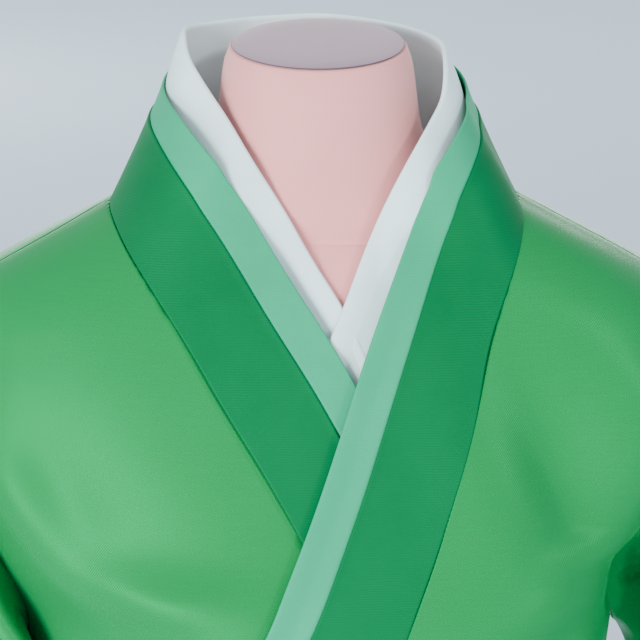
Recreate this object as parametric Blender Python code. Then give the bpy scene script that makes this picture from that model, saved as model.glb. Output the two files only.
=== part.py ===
"""A cross-collared robe with its white inner collar, worn by a limbless dress form on a round stand.

Metres, +Z up. The origin is the middle of the stand's underside. The front of the robe faces -Y, and
the wearer's left is +X. Angles round the body run from the wearer's left side (0) over the front (90)
and the wearer's right side (180) to the back (270).

Every panel follows one surface, the inner side of the robe, which is read from the rings in
ROBE_RINGS and the soft folds in ROBE_FOLDS. The left front laps over the right front.
"""

import math

import bmesh
import bpy
import numpy as np

MM = 0.001

# Heights that drive the garment, above the floor.
HEM_Z = 0.110
UNDERARM_Z = 1.135
SHOULDER_TIP_Z = 1.306
PANEL_TOP_Z = 1.355
NECK_POINT_Z = 1.362
NECK_TOP_Z = 1.439

# Walls and the gaps between them. Lifts are distances out of the robe's surface.
CLOTH = 1.6 * MM
DARK_BAND = 2.2 * MM
MINT_BAND = 1.4 * MM
WHITE_BAND = 2.0 * MM
SEAM_GAP = 0.3 * MM
SLEEVE_SEAM_GAP = 0.9 * MM
COLLAR_SEAM_GAP = 1.0 * MM
ROBE_INSIDE = -1.2 * MM
CHEST_LAP_LIFT = 4.0 * MM
SKIRT_LAP_LIFT = 8.0 * MM
WHITE_INSIDE = -4.0 * MM
WHITE_INSIDE_STANDING = -2.0 * MM
WHITE_LAP_DROP = 2.6 * MM

# The armhole reaches this angle forward and back. The lap rises between the two angles, and grows from
# the lift of the chest to that of the skirt between the two heights.
ARMHOLE_REACH = 22.0
ARMHOLE_ROUNDNESS = 0.45
LAP_STARTS = 12.0
LAP_FULL = 40.0
CHEST_LAP_ABOVE_Z = 1.08
SKIRT_LAP_BELOW_Z = 0.80

# Near the neck the seam to the collar runs nearly level, and the panels stop further from it in angle.
LEVEL_SEAM_FROM_Z = 1.325
LEVEL_SEAM_GAP_GROWTH = 5

# The robe on the form, as rings: height, half width, depth of the front and of the back, squareness.
ROBE_RINGS = (
    (0.110, 0.248, 0.186, 0.190, 2.0),
    (0.400, 0.212, 0.166, 0.164, 2.05),
    (0.700, 0.172, 0.142, 0.132, 2.1),
    (0.900, 0.150, 0.130, 0.108, 2.2),
    (1.000, 0.142, 0.124, 0.094, 2.2),
    (1.090, 0.150, 0.129, 0.097, 2.2),
    (1.135, 0.156, 0.127, 0.100, 2.3),
    (1.180, 0.166, 0.120, 0.104, 2.4),
    (1.205, 0.177, 0.114, 0.105, 2.5),
    (1.230, 0.187, 0.108, 0.106, 2.5),
    (1.270, 0.197, 0.096, 0.104, 2.5),
    (1.300, 0.197, 0.085, 0.100, 2.4),
    (1.315, 0.187, 0.079, 0.097, 2.3),
    (1.330, 0.165, 0.072, 0.094, 2.2),
    (1.345, 0.136, 0.064, 0.089, 2.1),
    (1.360, 0.107, 0.052, 0.083, 2.0),
    (1.375, 0.080, 0.040, 0.076, 2.0),
    (1.390, 0.050, 0.030, 0.062, 2.0),
)

# Soft folds of the robe: angle, half angle, height where it starts, height of full depth, depth.
ROBE_FOLDS = (
    (14.0, 7.0, 1.06, 0.40, 0.012),
    (30.0, 7.5, 1.02, 0.30, -0.011),
    (48.0, 8.0, 1.05, 0.25, 0.013),
    (66.0, 7.5, 0.98, 0.30, -0.010),
    (84.0, 8.0, 1.00, 0.20, 0.011),
    (103.0, 8.0, 1.03, 0.25, -0.012),
    (121.0, 7.5, 1.04, 0.30, 0.012),
    (138.0, 7.0, 0.98, 0.35, -0.010),
    (154.0, 7.0, 1.02, 0.30, 0.011),
    (176.0, 7.5, 1.04, 0.35, 0.010),
    (195.0, 7.5, 1.03, 0.30, -0.011),
    (213.0, 8.0, 1.06, 0.25, 0.012),
    (232.0, 8.0, 1.00, 0.30, -0.011),
    (250.0, 8.0, 1.02, 0.25, 0.012),
    (270.0, 8.5, 1.08, 0.20, -0.012),
    (289.0, 8.0, 1.03, 0.25, 0.013),
    (308.0, 8.0, 1.00, 0.30, -0.011),
    (327.0, 8.0, 1.05, 0.30, 0.012),
    (345.0, 7.0, 1.02, 0.35, -0.010),
)

# Folds of the chest, seen from the front: x, height, half length, half width, slant and depth.
CHEST_FOLDS = (
    (-0.134, 1.108, 0.048, 0.026, -22.0, -0.013),
    (-0.116, 1.158, 0.070, 0.016, -33.0, 0.004),
    (0.132, 1.238, 0.070, 0.028, -66.0, -0.005),
    (0.104, 1.160, 0.062, 0.016, 22.0, 0.004),
)
CHEST_FOLDS_FADE = 0.35

# The robe's collar, a row for each station from the wearer's right end, under the lap, round the neck
# to the wearer's left end. outer is the seam with the body, inner the free edge, hug how closely the
# band follows the body (0 where it stands up round the neck), dark the share of it that is dark green.
ROBE_COLLAR = (
    # outer x, y, z          inner x, y, z            hug   dark
    (0.098, -0.088, 1.010, 0.104, -0.088, 1.112, 1.0, 0.68),
    (0.056, -0.118, 1.087, 0.085, -0.100, 1.156, 1.0, 0.68),
    (0.020, -0.123, 1.150, 0.056, -0.108, 1.213, 1.0, 0.68),
    (-0.009, -0.115, 1.201, 0.026, -0.097, 1.264, 1.0, 0.68),
    (-0.030, -0.106, 1.237, 0.006, -0.086, 1.298, 1.0, 0.68),
    (-0.047, -0.098, 1.262, -0.009, -0.075, 1.319, 1.0, 0.68),
    (-0.065, -0.086, 1.292, -0.028, -0.066, 1.348, 0.6, 0.68),
    (-0.085, -0.068, 1.323, -0.048, -0.057, 1.378, 0.0, 0.68),
    (-0.099, -0.049, 1.341, -0.063, -0.045, 1.396, 0.0, 0.70),
    (-0.107, -0.028, 1.352, -0.0757, -0.030, 1.410, 0.0, 0.72),
    (-0.108, 0.000, 1.359, -0.083, -0.001, 1.4175, 0.0, 0.74),
    (-0.095, 0.032, 1.364, -0.0785, 0.026, 1.426, 0.0, 0.74),
    (-0.059, 0.066, 1.369, -0.053, 0.0565, 1.433, 0.0, 0.73),
    (0.000, 0.079, 1.372, 0.000, 0.069, 1.436, 0.0, 0.72),
    (0.058, 0.066, 1.370, 0.050, 0.0565, 1.433, 0.0, 0.73),
    (0.091, 0.032, 1.366, 0.0745, 0.026, 1.4255, 0.0, 0.75),
    (0.102, 0.000, 1.363, 0.0797, -0.001, 1.4155, 0.0, 0.76),
    (0.103, -0.030, 1.353, 0.0735, -0.035, 1.404, 0.0, 0.735),
    (0.099, -0.055, 1.336, 0.0650, -0.049, 1.388, 0.0, 0.70),
    (0.093, -0.072, 1.314, 0.053, -0.061, 1.363, 0.1, 0.69),
    (0.083, -0.089, 1.278, 0.037, -0.074, 1.3236, 1.0, 0.68),
    (0.072, -0.102, 1.2385, 0.0225, -0.090, 1.2845, 1.0, 0.68),
    (0.0616, -0.112, 1.199, 0.0098, -0.103, 1.246, 1.0, 0.68),
    (0.0434, -0.122, 1.1506, -0.0085, -0.117, 1.195, 1.0, 0.68),
    (0.012, -0.128, 1.080, -0.040, -0.120, 1.122, 1.0, 0.68),
    (-0.027, -0.122, 1.005, -0.082, -0.108, 1.048, 1.0, 0.68),
    (-0.080, -0.112, 0.918, -0.115, -0.083, 0.985, 1.0, 0.68),
    (-0.144, -0.054, 0.805, -0.136, -0.054, 0.932, 1.0, 0.68),
)

# The white inner collar, in the same order. It rests on the form's shoulders inside the robe's collar.
WHITE_COLLAR = (
    # outer x, y, z          inner x, y, z            hug
    (0.012, -0.112, 1.172, 0.055, -0.098, 1.225, 1.0),
    (-0.008, -0.107, 1.205, 0.042, -0.094, 1.255, 1.0),
    (-0.024, -0.100, 1.232, 0.028, -0.088, 1.285, 1.0),
    (-0.040, -0.092, 1.258, 0.0129, -0.0788, 1.3152, 1.0),
    (-0.056, -0.084, 1.284, -0.0005, -0.069, 1.3353, 0.9),
    (-0.071, -0.076, 1.308, -0.0197, -0.056, 1.365, 0.1),
    (-0.084, -0.063, 1.328, -0.0349, -0.0475, 1.387, 0.0),
    (-0.0935, -0.042, 1.350, -0.0485, -0.034, 1.407, 0.0),
    (-0.0985, -0.020, 1.3595, -0.0623, -0.020, 1.425, 0.0),
    (-0.099, 0.000, 1.3635, -0.069, -0.002, 1.436, 0.0),
    (-0.092, 0.022, 1.3655, -0.0702, 0.018, 1.442, 0.0),
    (-0.073, 0.043, 1.3690, -0.0575, 0.0415, 1.4465, 0.0),
    (-0.042, 0.061, 1.3715, -0.033, 0.0575, 1.449, 0.0),
    (0.000, 0.070, 1.373, 0.000, 0.064, 1.450, 0.0),
    (0.042, 0.061, 1.3715, 0.033, 0.0575, 1.447, 0.0),
    (0.072, 0.042, 1.3695, 0.0550, 0.0415, 1.443, 0.0),
    (0.089, 0.022, 1.3670, 0.0665, 0.018, 1.438, 0.0),
    (0.0945, 0.000, 1.3660, 0.0668, -0.004, 1.430, 0.0),
    (0.0945, -0.020, 1.3615, 0.0651, -0.020, 1.4157, 0.0),
    (0.0905, -0.040, 1.3530, 0.0599, -0.030, 1.4064, 0.0),
    (0.084, -0.060, 1.334, 0.0513, -0.044, 1.3933, 0.0),
    (0.078, -0.073, 1.313, 0.0425, -0.052, 1.379, 0.0),
    (0.070, -0.082, 1.289, 0.0322, -0.059, 1.3596, 0.1),
    (0.060, -0.089, 1.267, 0.0219, -0.068, 1.3376, 0.9),
    (0.050, -0.095, 1.247, 0.0129, -0.079, 1.3152, 1.0),
    (0.036, -0.102, 1.219, 0.0010, -0.088, 1.288, 1.0),
    (0.022, -0.109, 1.191, -0.013, -0.097, 1.258, 1.0),
    (0.006, -0.114, 1.163, -0.030, -0.104, 1.224, 1.0),
)

# The sleeves, as sections from the armhole to the cuff, given on the wearer's left: the shoulder side
# x and z, the underarm side x and z, and half the depth.
SLEEVE_SECTIONS = (
    (0.1970, 1.306, 0.1560, 1.135, 0.055),
    (0.2120, 1.296, 0.1610, 1.118, 0.058),
    (0.2290, 1.270, 0.1660, 1.095, 0.059),
    (0.2420, 1.232, 0.1700, 1.064, 0.057),
    (0.2520, 1.180, 0.1740, 1.026, 0.055),
    (0.2630, 1.100, 0.1780, 0.965, 0.055),
    (0.2770, 0.995, 0.1840, 0.885, 0.057),
    (0.2920, 0.880, 0.1930, 0.790, 0.060),
    (0.3050, 0.770, 0.2030, 0.695, 0.063),
    (0.3160, 0.665, 0.2120, 0.615, 0.066),
)
ARMHOLE_FADE = 3.0

# At the underarm the sleeve stands out of the robe by this much. The height round the armhole, from
# -1 at the underarm to 1 at the shoulder, says where that starts and where the wall follows the robe's.
UNDERARM_STAND = 2.4 * MM
STAND_STARTS = 0.4
FOLLOWS_ROBE_ABOVE = (-0.8, -0.3)

# How far in front of the ridge the shoulder seams lie, in degrees.
LEFT_SEAM_FORWARD = 5.0
RIGHT_SEAM_FORWARD = 12.0

# The fold at the front of each armpit, and the folds of both sleeves: angle from the shoulder side over
# the front, half angle, the section where it starts, the section of full depth, depth.
ARMPIT_FOLDS = {
    "sleeve_left": (150.0, 15.0, 0.0, 2.2, -0.022),
    "sleeve_right": (152.0, 15.0, 0.0, 2.5, -0.012),
}
SLEEVE_FOLDS = (
    (122.0, 12.0, 1.5, 5.0, 0.010),
    (98.0, 12.0, 2.5, 7.0, -0.012),
    (72.0, 12.0, 2.0, 7.0, 0.011),
    (44.0, 13.0, 2.5, 8.0, -0.010),
    (320.0, 13.0, 2.5, 8.0, -0.009),
    (292.0, 12.0, 2.0, 7.0, 0.011),
    (265.0, 12.0, 2.5, 7.0, -0.012),
    (238.0, 12.0, 1.5, 6.0, 0.010),
    (211.0, 14.0, 0.4, 3.0, -0.018),
)

# The dress form, as rings: height, half width, depth of the front and of the back, squareness.
FORM_RINGS = (
    (0.790, 0.126, 0.094, 0.092, 2.1),
    (0.802, 0.134, 0.101, 0.099, 2.1),
    (0.880, 0.140, 0.108, 0.098, 2.2),
    (0.940, 0.130, 0.101, 0.086, 2.2),
    (1.000, 0.118, 0.096, 0.076, 2.2),
    (1.060, 0.128, 0.108, 0.082, 2.2),
    (1.100, 0.138, 0.118, 0.088, 2.2),
    (1.135, 0.140, 0.118, 0.092, 2.3),
    (1.180, 0.147, 0.111, 0.097, 2.4),
    (1.230, 0.176, 0.099, 0.099, 2.5),
    (1.270, 0.190, 0.087, 0.096, 2.5),
    (1.300, 0.1920, 0.076, 0.092, 2.4),
    (1.315, 0.1825, 0.070, 0.089, 2.3),
    (1.330, 0.1595, 0.063, 0.085, 2.2),
    (1.345, 0.1230, 0.0535, 0.079, 2.1),
    (1.352, 0.1050, 0.0505, 0.075, 2.0),
    (1.360, 0.0905, 0.050, 0.070, 1.9),
    (1.372, 0.0725, 0.048, 0.064, 1.85),
    (1.384, 0.0605, 0.047, 0.059, 1.9),
    (1.398, 0.0540, 0.0475, 0.055, 2.0),
    (1.412, 0.0520, 0.048, 0.0525, 2.0),
    (1.426, 0.0502, 0.0475, 0.050, 2.0),
    (1.436, 0.0480, 0.0460, 0.0475, 2.0),
    (1.439, 0.0462, 0.0445, 0.0455, 2.0),
)
NECK_TILT = 0.20
NECK_TILT_FROM_Z = 1.385
CAP_HALF_WIDTH = 0.0456
CAP_HALF_DEPTH = 0.0440
CAP_THICKNESS = 2.6 * MM
CAP_ROUNDING = 0.8 * MM

BASE_RADIUS = 0.170
BASE_EDGE = 0.010
HUB_RADIUS = 0.024
HUB_TOP_Z = 0.052
POLE_RADIUS = 0.0125
PLATE_RADIUS = 0.050
PLATE_THICKNESS = 0.006

# How finely each solid is cut up.
LEFT_FRONT_COLUMNS = 26
RIGHT_FRONT_COLUMNS = 21
BACK_COLUMNS = 28
SKIRT_ROWS = 4
LAP_ROWS = 8
WAIST_ROWS = 3
ARMHOLE_ROWS = 7
SHOULDER_ROWS = 4
SLEEVE_COLUMNS = 28
SLEEVE_ROWS = 12
COLLAR_STEPS = 56
WHITE_STEPS = 50
FORM_COLUMNS = 24
TURNED_COLUMNS = 24

# The ties: the knot, and the routes of the two free ends, rows of angle, height and lift in millimetres.
TIE_WIDTH = 0.012
TIE_THICKNESS = 1.2 * MM
TIE_STEPS = 10
KNOT_ANGLE = 164.0
KNOT_Z = 0.925
KNOT_LIFT = 7.9 * MM
KNOT_SIZE = (0.016, 0.013, 0.018)
KNOT_ROUNDING = 0.003
TIE_ROUTES = {
    "tie_end_front": (
        (161.6, 0.913, 2.0),
        (161.0, 0.880, 1.3),
        (161.2, 0.820, 1.4),
        (160.6, 0.760, 1.6),
        (161.0, 0.700, 1.8),
    ),
    "tie_end_back": (
        (167.6, 0.913, 1.8),
        (168.6, 0.880, 1.2),
        (168.4, 0.830, 1.3),
        (169.4, 0.780, 1.6),
        (169.0, 0.735, 1.9),
    ),
}

MATERIALS = {
    "bright_satin": ((0.10, 0.55, 0.20), 0.38, 0.0),
    "dark_ribbed": ((0.01, 0.30, 0.10), 0.50, 0.0),
    "mint": ((0.30, 0.66, 0.45), 0.55, 0.0),
    "white_cotton": ((0.80, 0.82, 0.85), 0.75, 0.0),
    "pink_jersey": ((0.72, 0.50, 0.48), 0.90, 0.0),
    "neck_cap": ((0.48, 0.44, 0.47), 0.85, 0.0),
    "stand_metal": ((0.62, 0.62, 0.63), 0.30, 1.0),
    "stand_base": ((0.86, 0.86, 0.85), 0.40, 0.0),
}


def smooth_columns(table, at):
    """Reads each column of a table at the places in its first column, with no overshoot between rows."""
    rows = np.asarray(table, float)
    places = rows[:, 0]
    values = rows[:, 1:]
    step = np.diff(places)
    slope = np.diff(values, axis=0) / step[:, None]
    tangent = np.empty_like(values)
    tangent[0] = slope[0]
    tangent[-1] = slope[-1]
    for i in range(1, len(rows) - 1):
        before, after = slope[i - 1], slope[i]
        w_before = 2 * step[i] + step[i - 1]
        w_after = step[i] + 2 * step[i - 1]
        same_way = before * after > 0
        safe_before = np.where(same_way, before, 1.0)
        safe_after = np.where(same_way, after, 1.0)
        mean = (w_before + w_after) / (w_before / safe_before + w_after / safe_after)
        tangent[i] = np.where(same_way, mean, 0.0)
    at = np.atleast_1d(np.asarray(at, float))
    i = np.clip(np.searchsorted(places, at) - 1, 0, len(rows) - 2)
    t = np.clip((at - places[i]) / step[i], 0, 1)[:, None]
    length = step[i][:, None]
    return (
        (1 + 2 * t) * (1 - t) ** 2 * values[i]
        + t * (1 - t) ** 2 * length * tangent[i]
        + t * t * (3 - 2 * t) * values[i + 1]
        + t * t * (t - 1) * length * tangent[i + 1]
    )


def smoothstep(value, start, end):
    t = np.clip((value - start) / (end - start), 0, 1)
    return t * t * (3 - 2 * t)


def oval(angle, half_width, front, back, squareness):
    """A point of a ring: x to the wearer's left, y negative in front."""
    c = np.cos(np.radians(angle))
    s = np.sin(np.radians(angle))
    x = half_width * np.sign(c) * np.abs(c) ** (2 / squareness)
    depth = np.where(s > 0, front, back)
    y = -depth * np.sign(s) * np.abs(s) ** (2 / squareness)
    return x, y


def angle_of(x, y, height):
    """The angle round the body at which the robe's surface lies behind a point."""
    half_width, front, back, squareness = smooth_columns(ROBE_RINGS, height).T
    depth = np.where(y < 0, front, back)
    c = np.sign(x) * np.abs(x / half_width) ** (squareness / 2)
    s = np.sign(-y) * np.abs(y / depth) ** (squareness / 2)
    return np.degrees(np.arctan2(s, c))


def fold_depth(angle, height):
    """How far the folds push the robe out of its smooth rings."""
    depth = np.zeros(np.broadcast(angle, height).shape)
    for centre, width, start, full, push in ROBE_FOLDS:
        away = (angle - centre + 180.0) % 360.0 - 180.0
        depth = depth + push * np.exp(-((away / width) ** 2)) * smoothstep(-height, -start, -full)
    return depth


def chest_fold_depth(angle, x, height):
    """How far the folds of the chest push the front of the robe out."""
    depth = np.zeros(height.shape)
    for centre_x, centre_z, half_length, half_width, slant, push in CHEST_FOLDS:
        c, s = math.cos(math.radians(slant)), math.sin(math.radians(slant))
        along = (x - centre_x) * c + (height - centre_z) * s
        across = (height - centre_z) * c - (x - centre_x) * s
        depth = depth + push * np.exp(-((along / half_length) ** 2) - (across / half_width) ** 2)
    return depth * smoothstep(np.sin(np.radians(angle)), 0.0, CHEST_FOLDS_FADE)


def robe_surface(angle, height):
    """The robe's surface with its folds, as an array of points."""
    angle, height = np.broadcast_arrays(np.asarray(angle, float), np.asarray(height, float))
    columns = smooth_columns(ROBE_RINGS, height.ravel())
    half_width, front, back, squareness = (c.reshape(height.shape) for c in columns.T)
    x, y = oval(angle, half_width, front, back, squareness)
    push = fold_depth(angle, height) + chest_fold_depth(angle, x, height)
    x, y = oval(angle, half_width + push, front + push, back + push, squareness)
    return np.stack([x, y, height], axis=-1)


def unit(vectors):
    return vectors / np.maximum(np.linalg.norm(vectors, axis=-1, keepdims=True), 1e-12)


def robe_point(angle, height, lift):
    """A point at a distance in front of the robe's surface, square to it."""
    turn, rise = 0.4, 0.001
    across = robe_surface(angle + turn, height) - robe_surface(angle - turn, height)
    along = robe_surface(angle, height + rise) - robe_surface(angle, height - rise)
    normal = unit(np.cross(along, across))
    outward = robe_surface(angle, height) * (1, 1, 0)
    flip = np.sign(np.sum(normal * outward, axis=-1, keepdims=True))
    lift = np.asarray(lift, float)[..., None]
    return robe_surface(angle, height) + normal * flip * lift


def lap_lift(angle, height):
    """How far the left front has risen over the right front, which grows where the skirt hangs free."""
    hanging = smoothstep(-height, -CHEST_LAP_ABOVE_Z, -SKIRT_LAP_BELOW_Z)
    full = CHEST_LAP_LIFT + (SKIRT_LAP_LIFT - CHEST_LAP_LIFT) * hanging
    return full * smoothstep(angle, LAP_STARTS, LAP_FULL)


def make_object(name, verts, faces, material):
    mesh = bpy.data.meshes.new(name)
    mesh.from_pydata([tuple(v) for v in verts], [], faces)
    mesh.validate()
    obj = bpy.data.objects.new(name, mesh)
    bpy.context.scene.collection.objects.link(obj)
    obj.data.materials.append(material)
    work = bmesh.new()
    work.from_mesh(mesh)
    bmesh.ops.remove_doubles(work, verts=work.verts, dist=1e-6)
    bmesh.ops.recalc_face_normals(work, faces=work.faces)
    work.to_mesh(mesh)
    work.free()
    mesh.shade_smooth()
    mesh.set_sharp_from_angle(angle=math.radians(40))
    return obj


def wall(name, inside, outside, material, closed=False):
    """A cloth wall between two grids of points, with its rim closed. A closed wall goes all round."""
    rows, columns = inside.shape[:2]
    verts = np.concatenate([inside.reshape(-1, 3), outside.reshape(-1, 3)])
    second = rows * columns
    spans = columns if closed else columns - 1

    def at(side, row, column):
        return side * second + row * columns + column % columns

    faces = []
    for row in range(rows - 1):
        for column in range(spans):
            for side, order in ((0, -1), (1, 1)):
                corners = [
                    at(side, row, column),
                    at(side, row, column + 1),
                    at(side, row + 1, column + 1),
                    at(side, row + 1, column),
                ]
                faces.append(corners[::order])
    rim = [((row, column), (row, column + 1)) for column in range(spans) for row in (0, rows - 1)]
    if not closed:
        rim += [((row, column), (row + 1, column)) for row in range(rows - 1) for column in (0, columns - 1)]
    for start, end in rim:
        faces.append([at(0, *start), at(0, *end), at(1, *end), at(1, *start)])
    return make_object(name, verts, faces, material)


def armhole_angle(height):
    """How far round from the side the armhole's edge is at a height, 0 above and below it."""
    middle = (UNDERARM_Z + SHOULDER_TIP_Z) / 2
    reach = (SHOULDER_TIP_Z - UNDERARM_Z) / 2
    rise = np.clip((height - middle) / reach, -1, 1)
    return ARMHOLE_REACH * (1 - rise**2) ** ARMHOLE_ROUNDNESS


def shoulder_angle(height, forward):
    """The shoulder seam lies a little in front of the ridge, and runs back to it at both ends."""
    rise = np.clip((height - SHOULDER_TIP_Z) / (NECK_POINT_Z - SHOULDER_TIP_Z), 0, 1)
    return forward * 4 * rise * (1 - rise)


def side_angle(height, forward):
    """Where a panel's side edge runs: down the side seam, round the armhole and along the shoulder."""
    gap = gap_angle(height, SEAM_GAP / 2 + SLEEVE_SEAM_GAP / 2 * (armhole_angle(height) > 0))
    return armhole_angle(height) + shoulder_angle(height, forward) + gap


def gap_angle(height, gap):
    """The angle that a gap takes at the side of the body."""
    half_width = smooth_columns(ROBE_RINGS, height)[:, 0]
    return np.degrees(gap / half_width)


def collar_gap_angle(height):
    """The gap to the collar, longer near the neck, where the seam runs nearly level round the body."""
    level = smoothstep(height, LEVEL_SEAM_FROM_Z, PANEL_TOP_Z)
    return gap_angle(height, COLLAR_SEAM_GAP) * (1 + LEVEL_SEAM_GAP_GROWTH * level)


def panel_heights():
    """The rows that all panels share: at the ends of the collar, the underarm and round the armhole."""
    lap_corner, underlap_corner = ROBE_COLLAR[-1][2], ROBE_COLLAR[0][2]
    skirt = np.linspace(HEM_Z, lap_corner, SKIRT_ROWS + 1)
    lap = np.linspace(lap_corner, underlap_corner, LAP_ROWS + 1)[1:]
    waist = np.linspace(underlap_corner, UNDERARM_Z, WAIST_ROWS + 1)[1:]
    turn = np.linspace(0, math.pi, ARMHOLE_ROWS + 1)[1:]
    middle = (UNDERARM_Z + SHOULDER_TIP_Z) / 2
    armhole = middle - (SHOULDER_TIP_Z - UNDERARM_Z) / 2 * np.cos(turn)
    shoulder = np.linspace(SHOULDER_TIP_Z, PANEL_TOP_Z, SHOULDER_ROWS + 1)[1:]
    return np.concatenate([skirt, lap, waist, armhole, shoulder])


def station_curves(table, steps):
    """Reads a collar's stations at even steps of its length."""
    rows = np.asarray(table, float)
    middle = (rows[:, 0:3] + rows[:, 3:6]) / 2
    length = np.concatenate([[0], np.cumsum(np.linalg.norm(np.diff(middle, axis=0), axis=1))])
    keyed = np.column_stack([length, rows])
    return smooth_columns(keyed, np.linspace(0, length[-1], steps + 1))


def collar_seam(over):
    """The seam of the collar with a front, as heights and the angles there, lowest first."""
    outer = station_curves(ROBE_COLLAR, COLLAR_STEPS)[:, 0:3]
    middle = len(outer) // 2
    side = outer[middle:] if over else outer[:middle]
    side = side[side[:, 1] < 0.001]
    order = np.argsort(side[:, 2])
    side = side[order]
    return side[:, 2], angle_of(side[:, 0], side[:, 1], side[:, 2])


def band_points(stations, across, lying_lift, standing_lift, lap):
    """Points across a collar band: a share of its width from the outer edge, lifted by a distance.

    Where the band hugs the body it is lifted from the robe's surface, and where it stands from itself.
    """
    outer, inner, hug = stations[:, 0:3], stations[:, 3:6], stations[:, 6, None]
    flat = outer + (inner - outer) * across[..., None]
    angle = angle_of(*flat.reshape(-1, 3).T).reshape(across.shape)
    lapped = lap(angle, flat[..., 2])
    normal = unit(np.cross(np.broadcast_to(inner - outer, flat.shape), np.gradient(flat, axis=1)))
    outward = np.sign(np.sum(normal * flat * (1, 1, 0), axis=-1, keepdims=True))
    standing = flat + normal * outward * (standing_lift + lapped)[..., None]
    lying = robe_point(angle, flat[..., 2], lying_lift + lapped)
    return standing + (lying - standing) * hug


def band(name, stations, shares, spans, lifts, thickness, lap, material):
    """A collar band as a wall, between two shares of the collar's width."""
    across = shares[0] + (shares[1] - shares[0]) * np.linspace(0, 1, spans + 1)[:, None]
    below = band_points(stations, across, lifts[0], lifts[1], lap)
    above = band_points(stations, across, lifts[0] + thickness, lifts[1] + thickness, lap)
    return wall(name, below, above, material)


def on_robe(stations, lift=0.0):
    """The same stations with their outer edge put on the robe's surface, or a distance out of it."""
    seated = stations.copy()
    seated[:, 0:3] = robe_point(angle_of(*stations[:, 0:3].T), stations[:, 2], lift)
    return seated


def left_half(angle):
    """1 for the stations from the back of the neck to the wearer's left end, and 0 for the others."""
    count = angle.shape[-1]
    return np.arange(count) > count // 2


def robe_lap(angle, height):
    """The collar's left end laps as the left front does."""
    return lap_lift(angle, height) * left_half(angle)


def white_lap(angle, height):
    """The white collar's right end dips under its left end."""
    dip = smoothstep(180.0 - angle, LAP_STARTS, LAP_FULL) * (angle > 0)
    return -WHITE_LAP_DROP * dip * ~left_half(angle)


def panel(name, angles, heights, lap, material):
    """A panel of the robe as a wall over a grid of angles and heights."""
    lifts = ROBE_INSIDE + lap
    inside = robe_point(angles, heights, lifts)
    outside = robe_point(angles, heights, lifts + CLOTH)
    return wall(name, inside, outside, material)


def rows_between(starts, ends, columns):
    share = np.linspace(0, 1, columns + 1)
    return starts[:, None] + (ends - starts)[:, None] * share


def left_front(material):
    heights = panel_heights()
    seam_z, seam_angle = collar_seam(over=True)
    starts = side_angle(heights, LEFT_SEAM_FORWARD)
    ends = np.interp(heights, seam_z, seam_angle) - collar_gap_angle(heights)
    angles = rows_between(starts, ends, LEFT_FRONT_COLUMNS)
    grid = np.broadcast_to(heights[:, None], angles.shape)
    return panel("front_left", angles, grid, lap_lift(angles, grid), material)


def right_front(material):
    heights = panel_heights()
    seam_z, seam_angle = collar_seam(over=False)
    starts = 180.0 - side_angle(heights, RIGHT_SEAM_FORWARD)
    ends = np.interp(heights, seam_z, seam_angle) + collar_gap_angle(heights)
    angles = rows_between(starts, ends, RIGHT_FRONT_COLUMNS)
    grid = np.broadcast_to(heights[:, None], angles.shape)
    return panel("front_right", angles, grid, np.zeros(angles.shape), material)


def back(material):
    heights = panel_heights()
    starts = 2 * shoulder_angle(heights, LEFT_SEAM_FORWARD) - side_angle(heights, LEFT_SEAM_FORWARD)
    ends = side_angle(heights, RIGHT_SEAM_FORWARD) - 2 * shoulder_angle(heights, RIGHT_SEAM_FORWARD) - 180.0
    angles = rows_between(starts, ends, BACK_COLUMNS)
    grid = np.broadcast_to(heights[:, None], angles.shape)
    outer = station_curves(ROBE_COLLAR, 4 * COLLAR_STEPS)[:, 0:3]
    behind = outer[outer[:, 1] > -0.02]
    around = angle_of(behind[:, 0], behind[:, 1], behind[:, 2])
    around = np.where(around > 90, around - 360, around)
    order = np.argsort(around)
    neck = np.interp(angles[-1], around[order], behind[order, 2]) - COLLAR_SEAM_GAP
    angles = np.vstack([angles, angles[-1:]])
    grid = np.vstack([grid, np.maximum(neck, PANEL_TOP_Z + MM)[None, :]])
    return panel("back", angles, grid, np.zeros(angles.shape), material)


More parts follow.
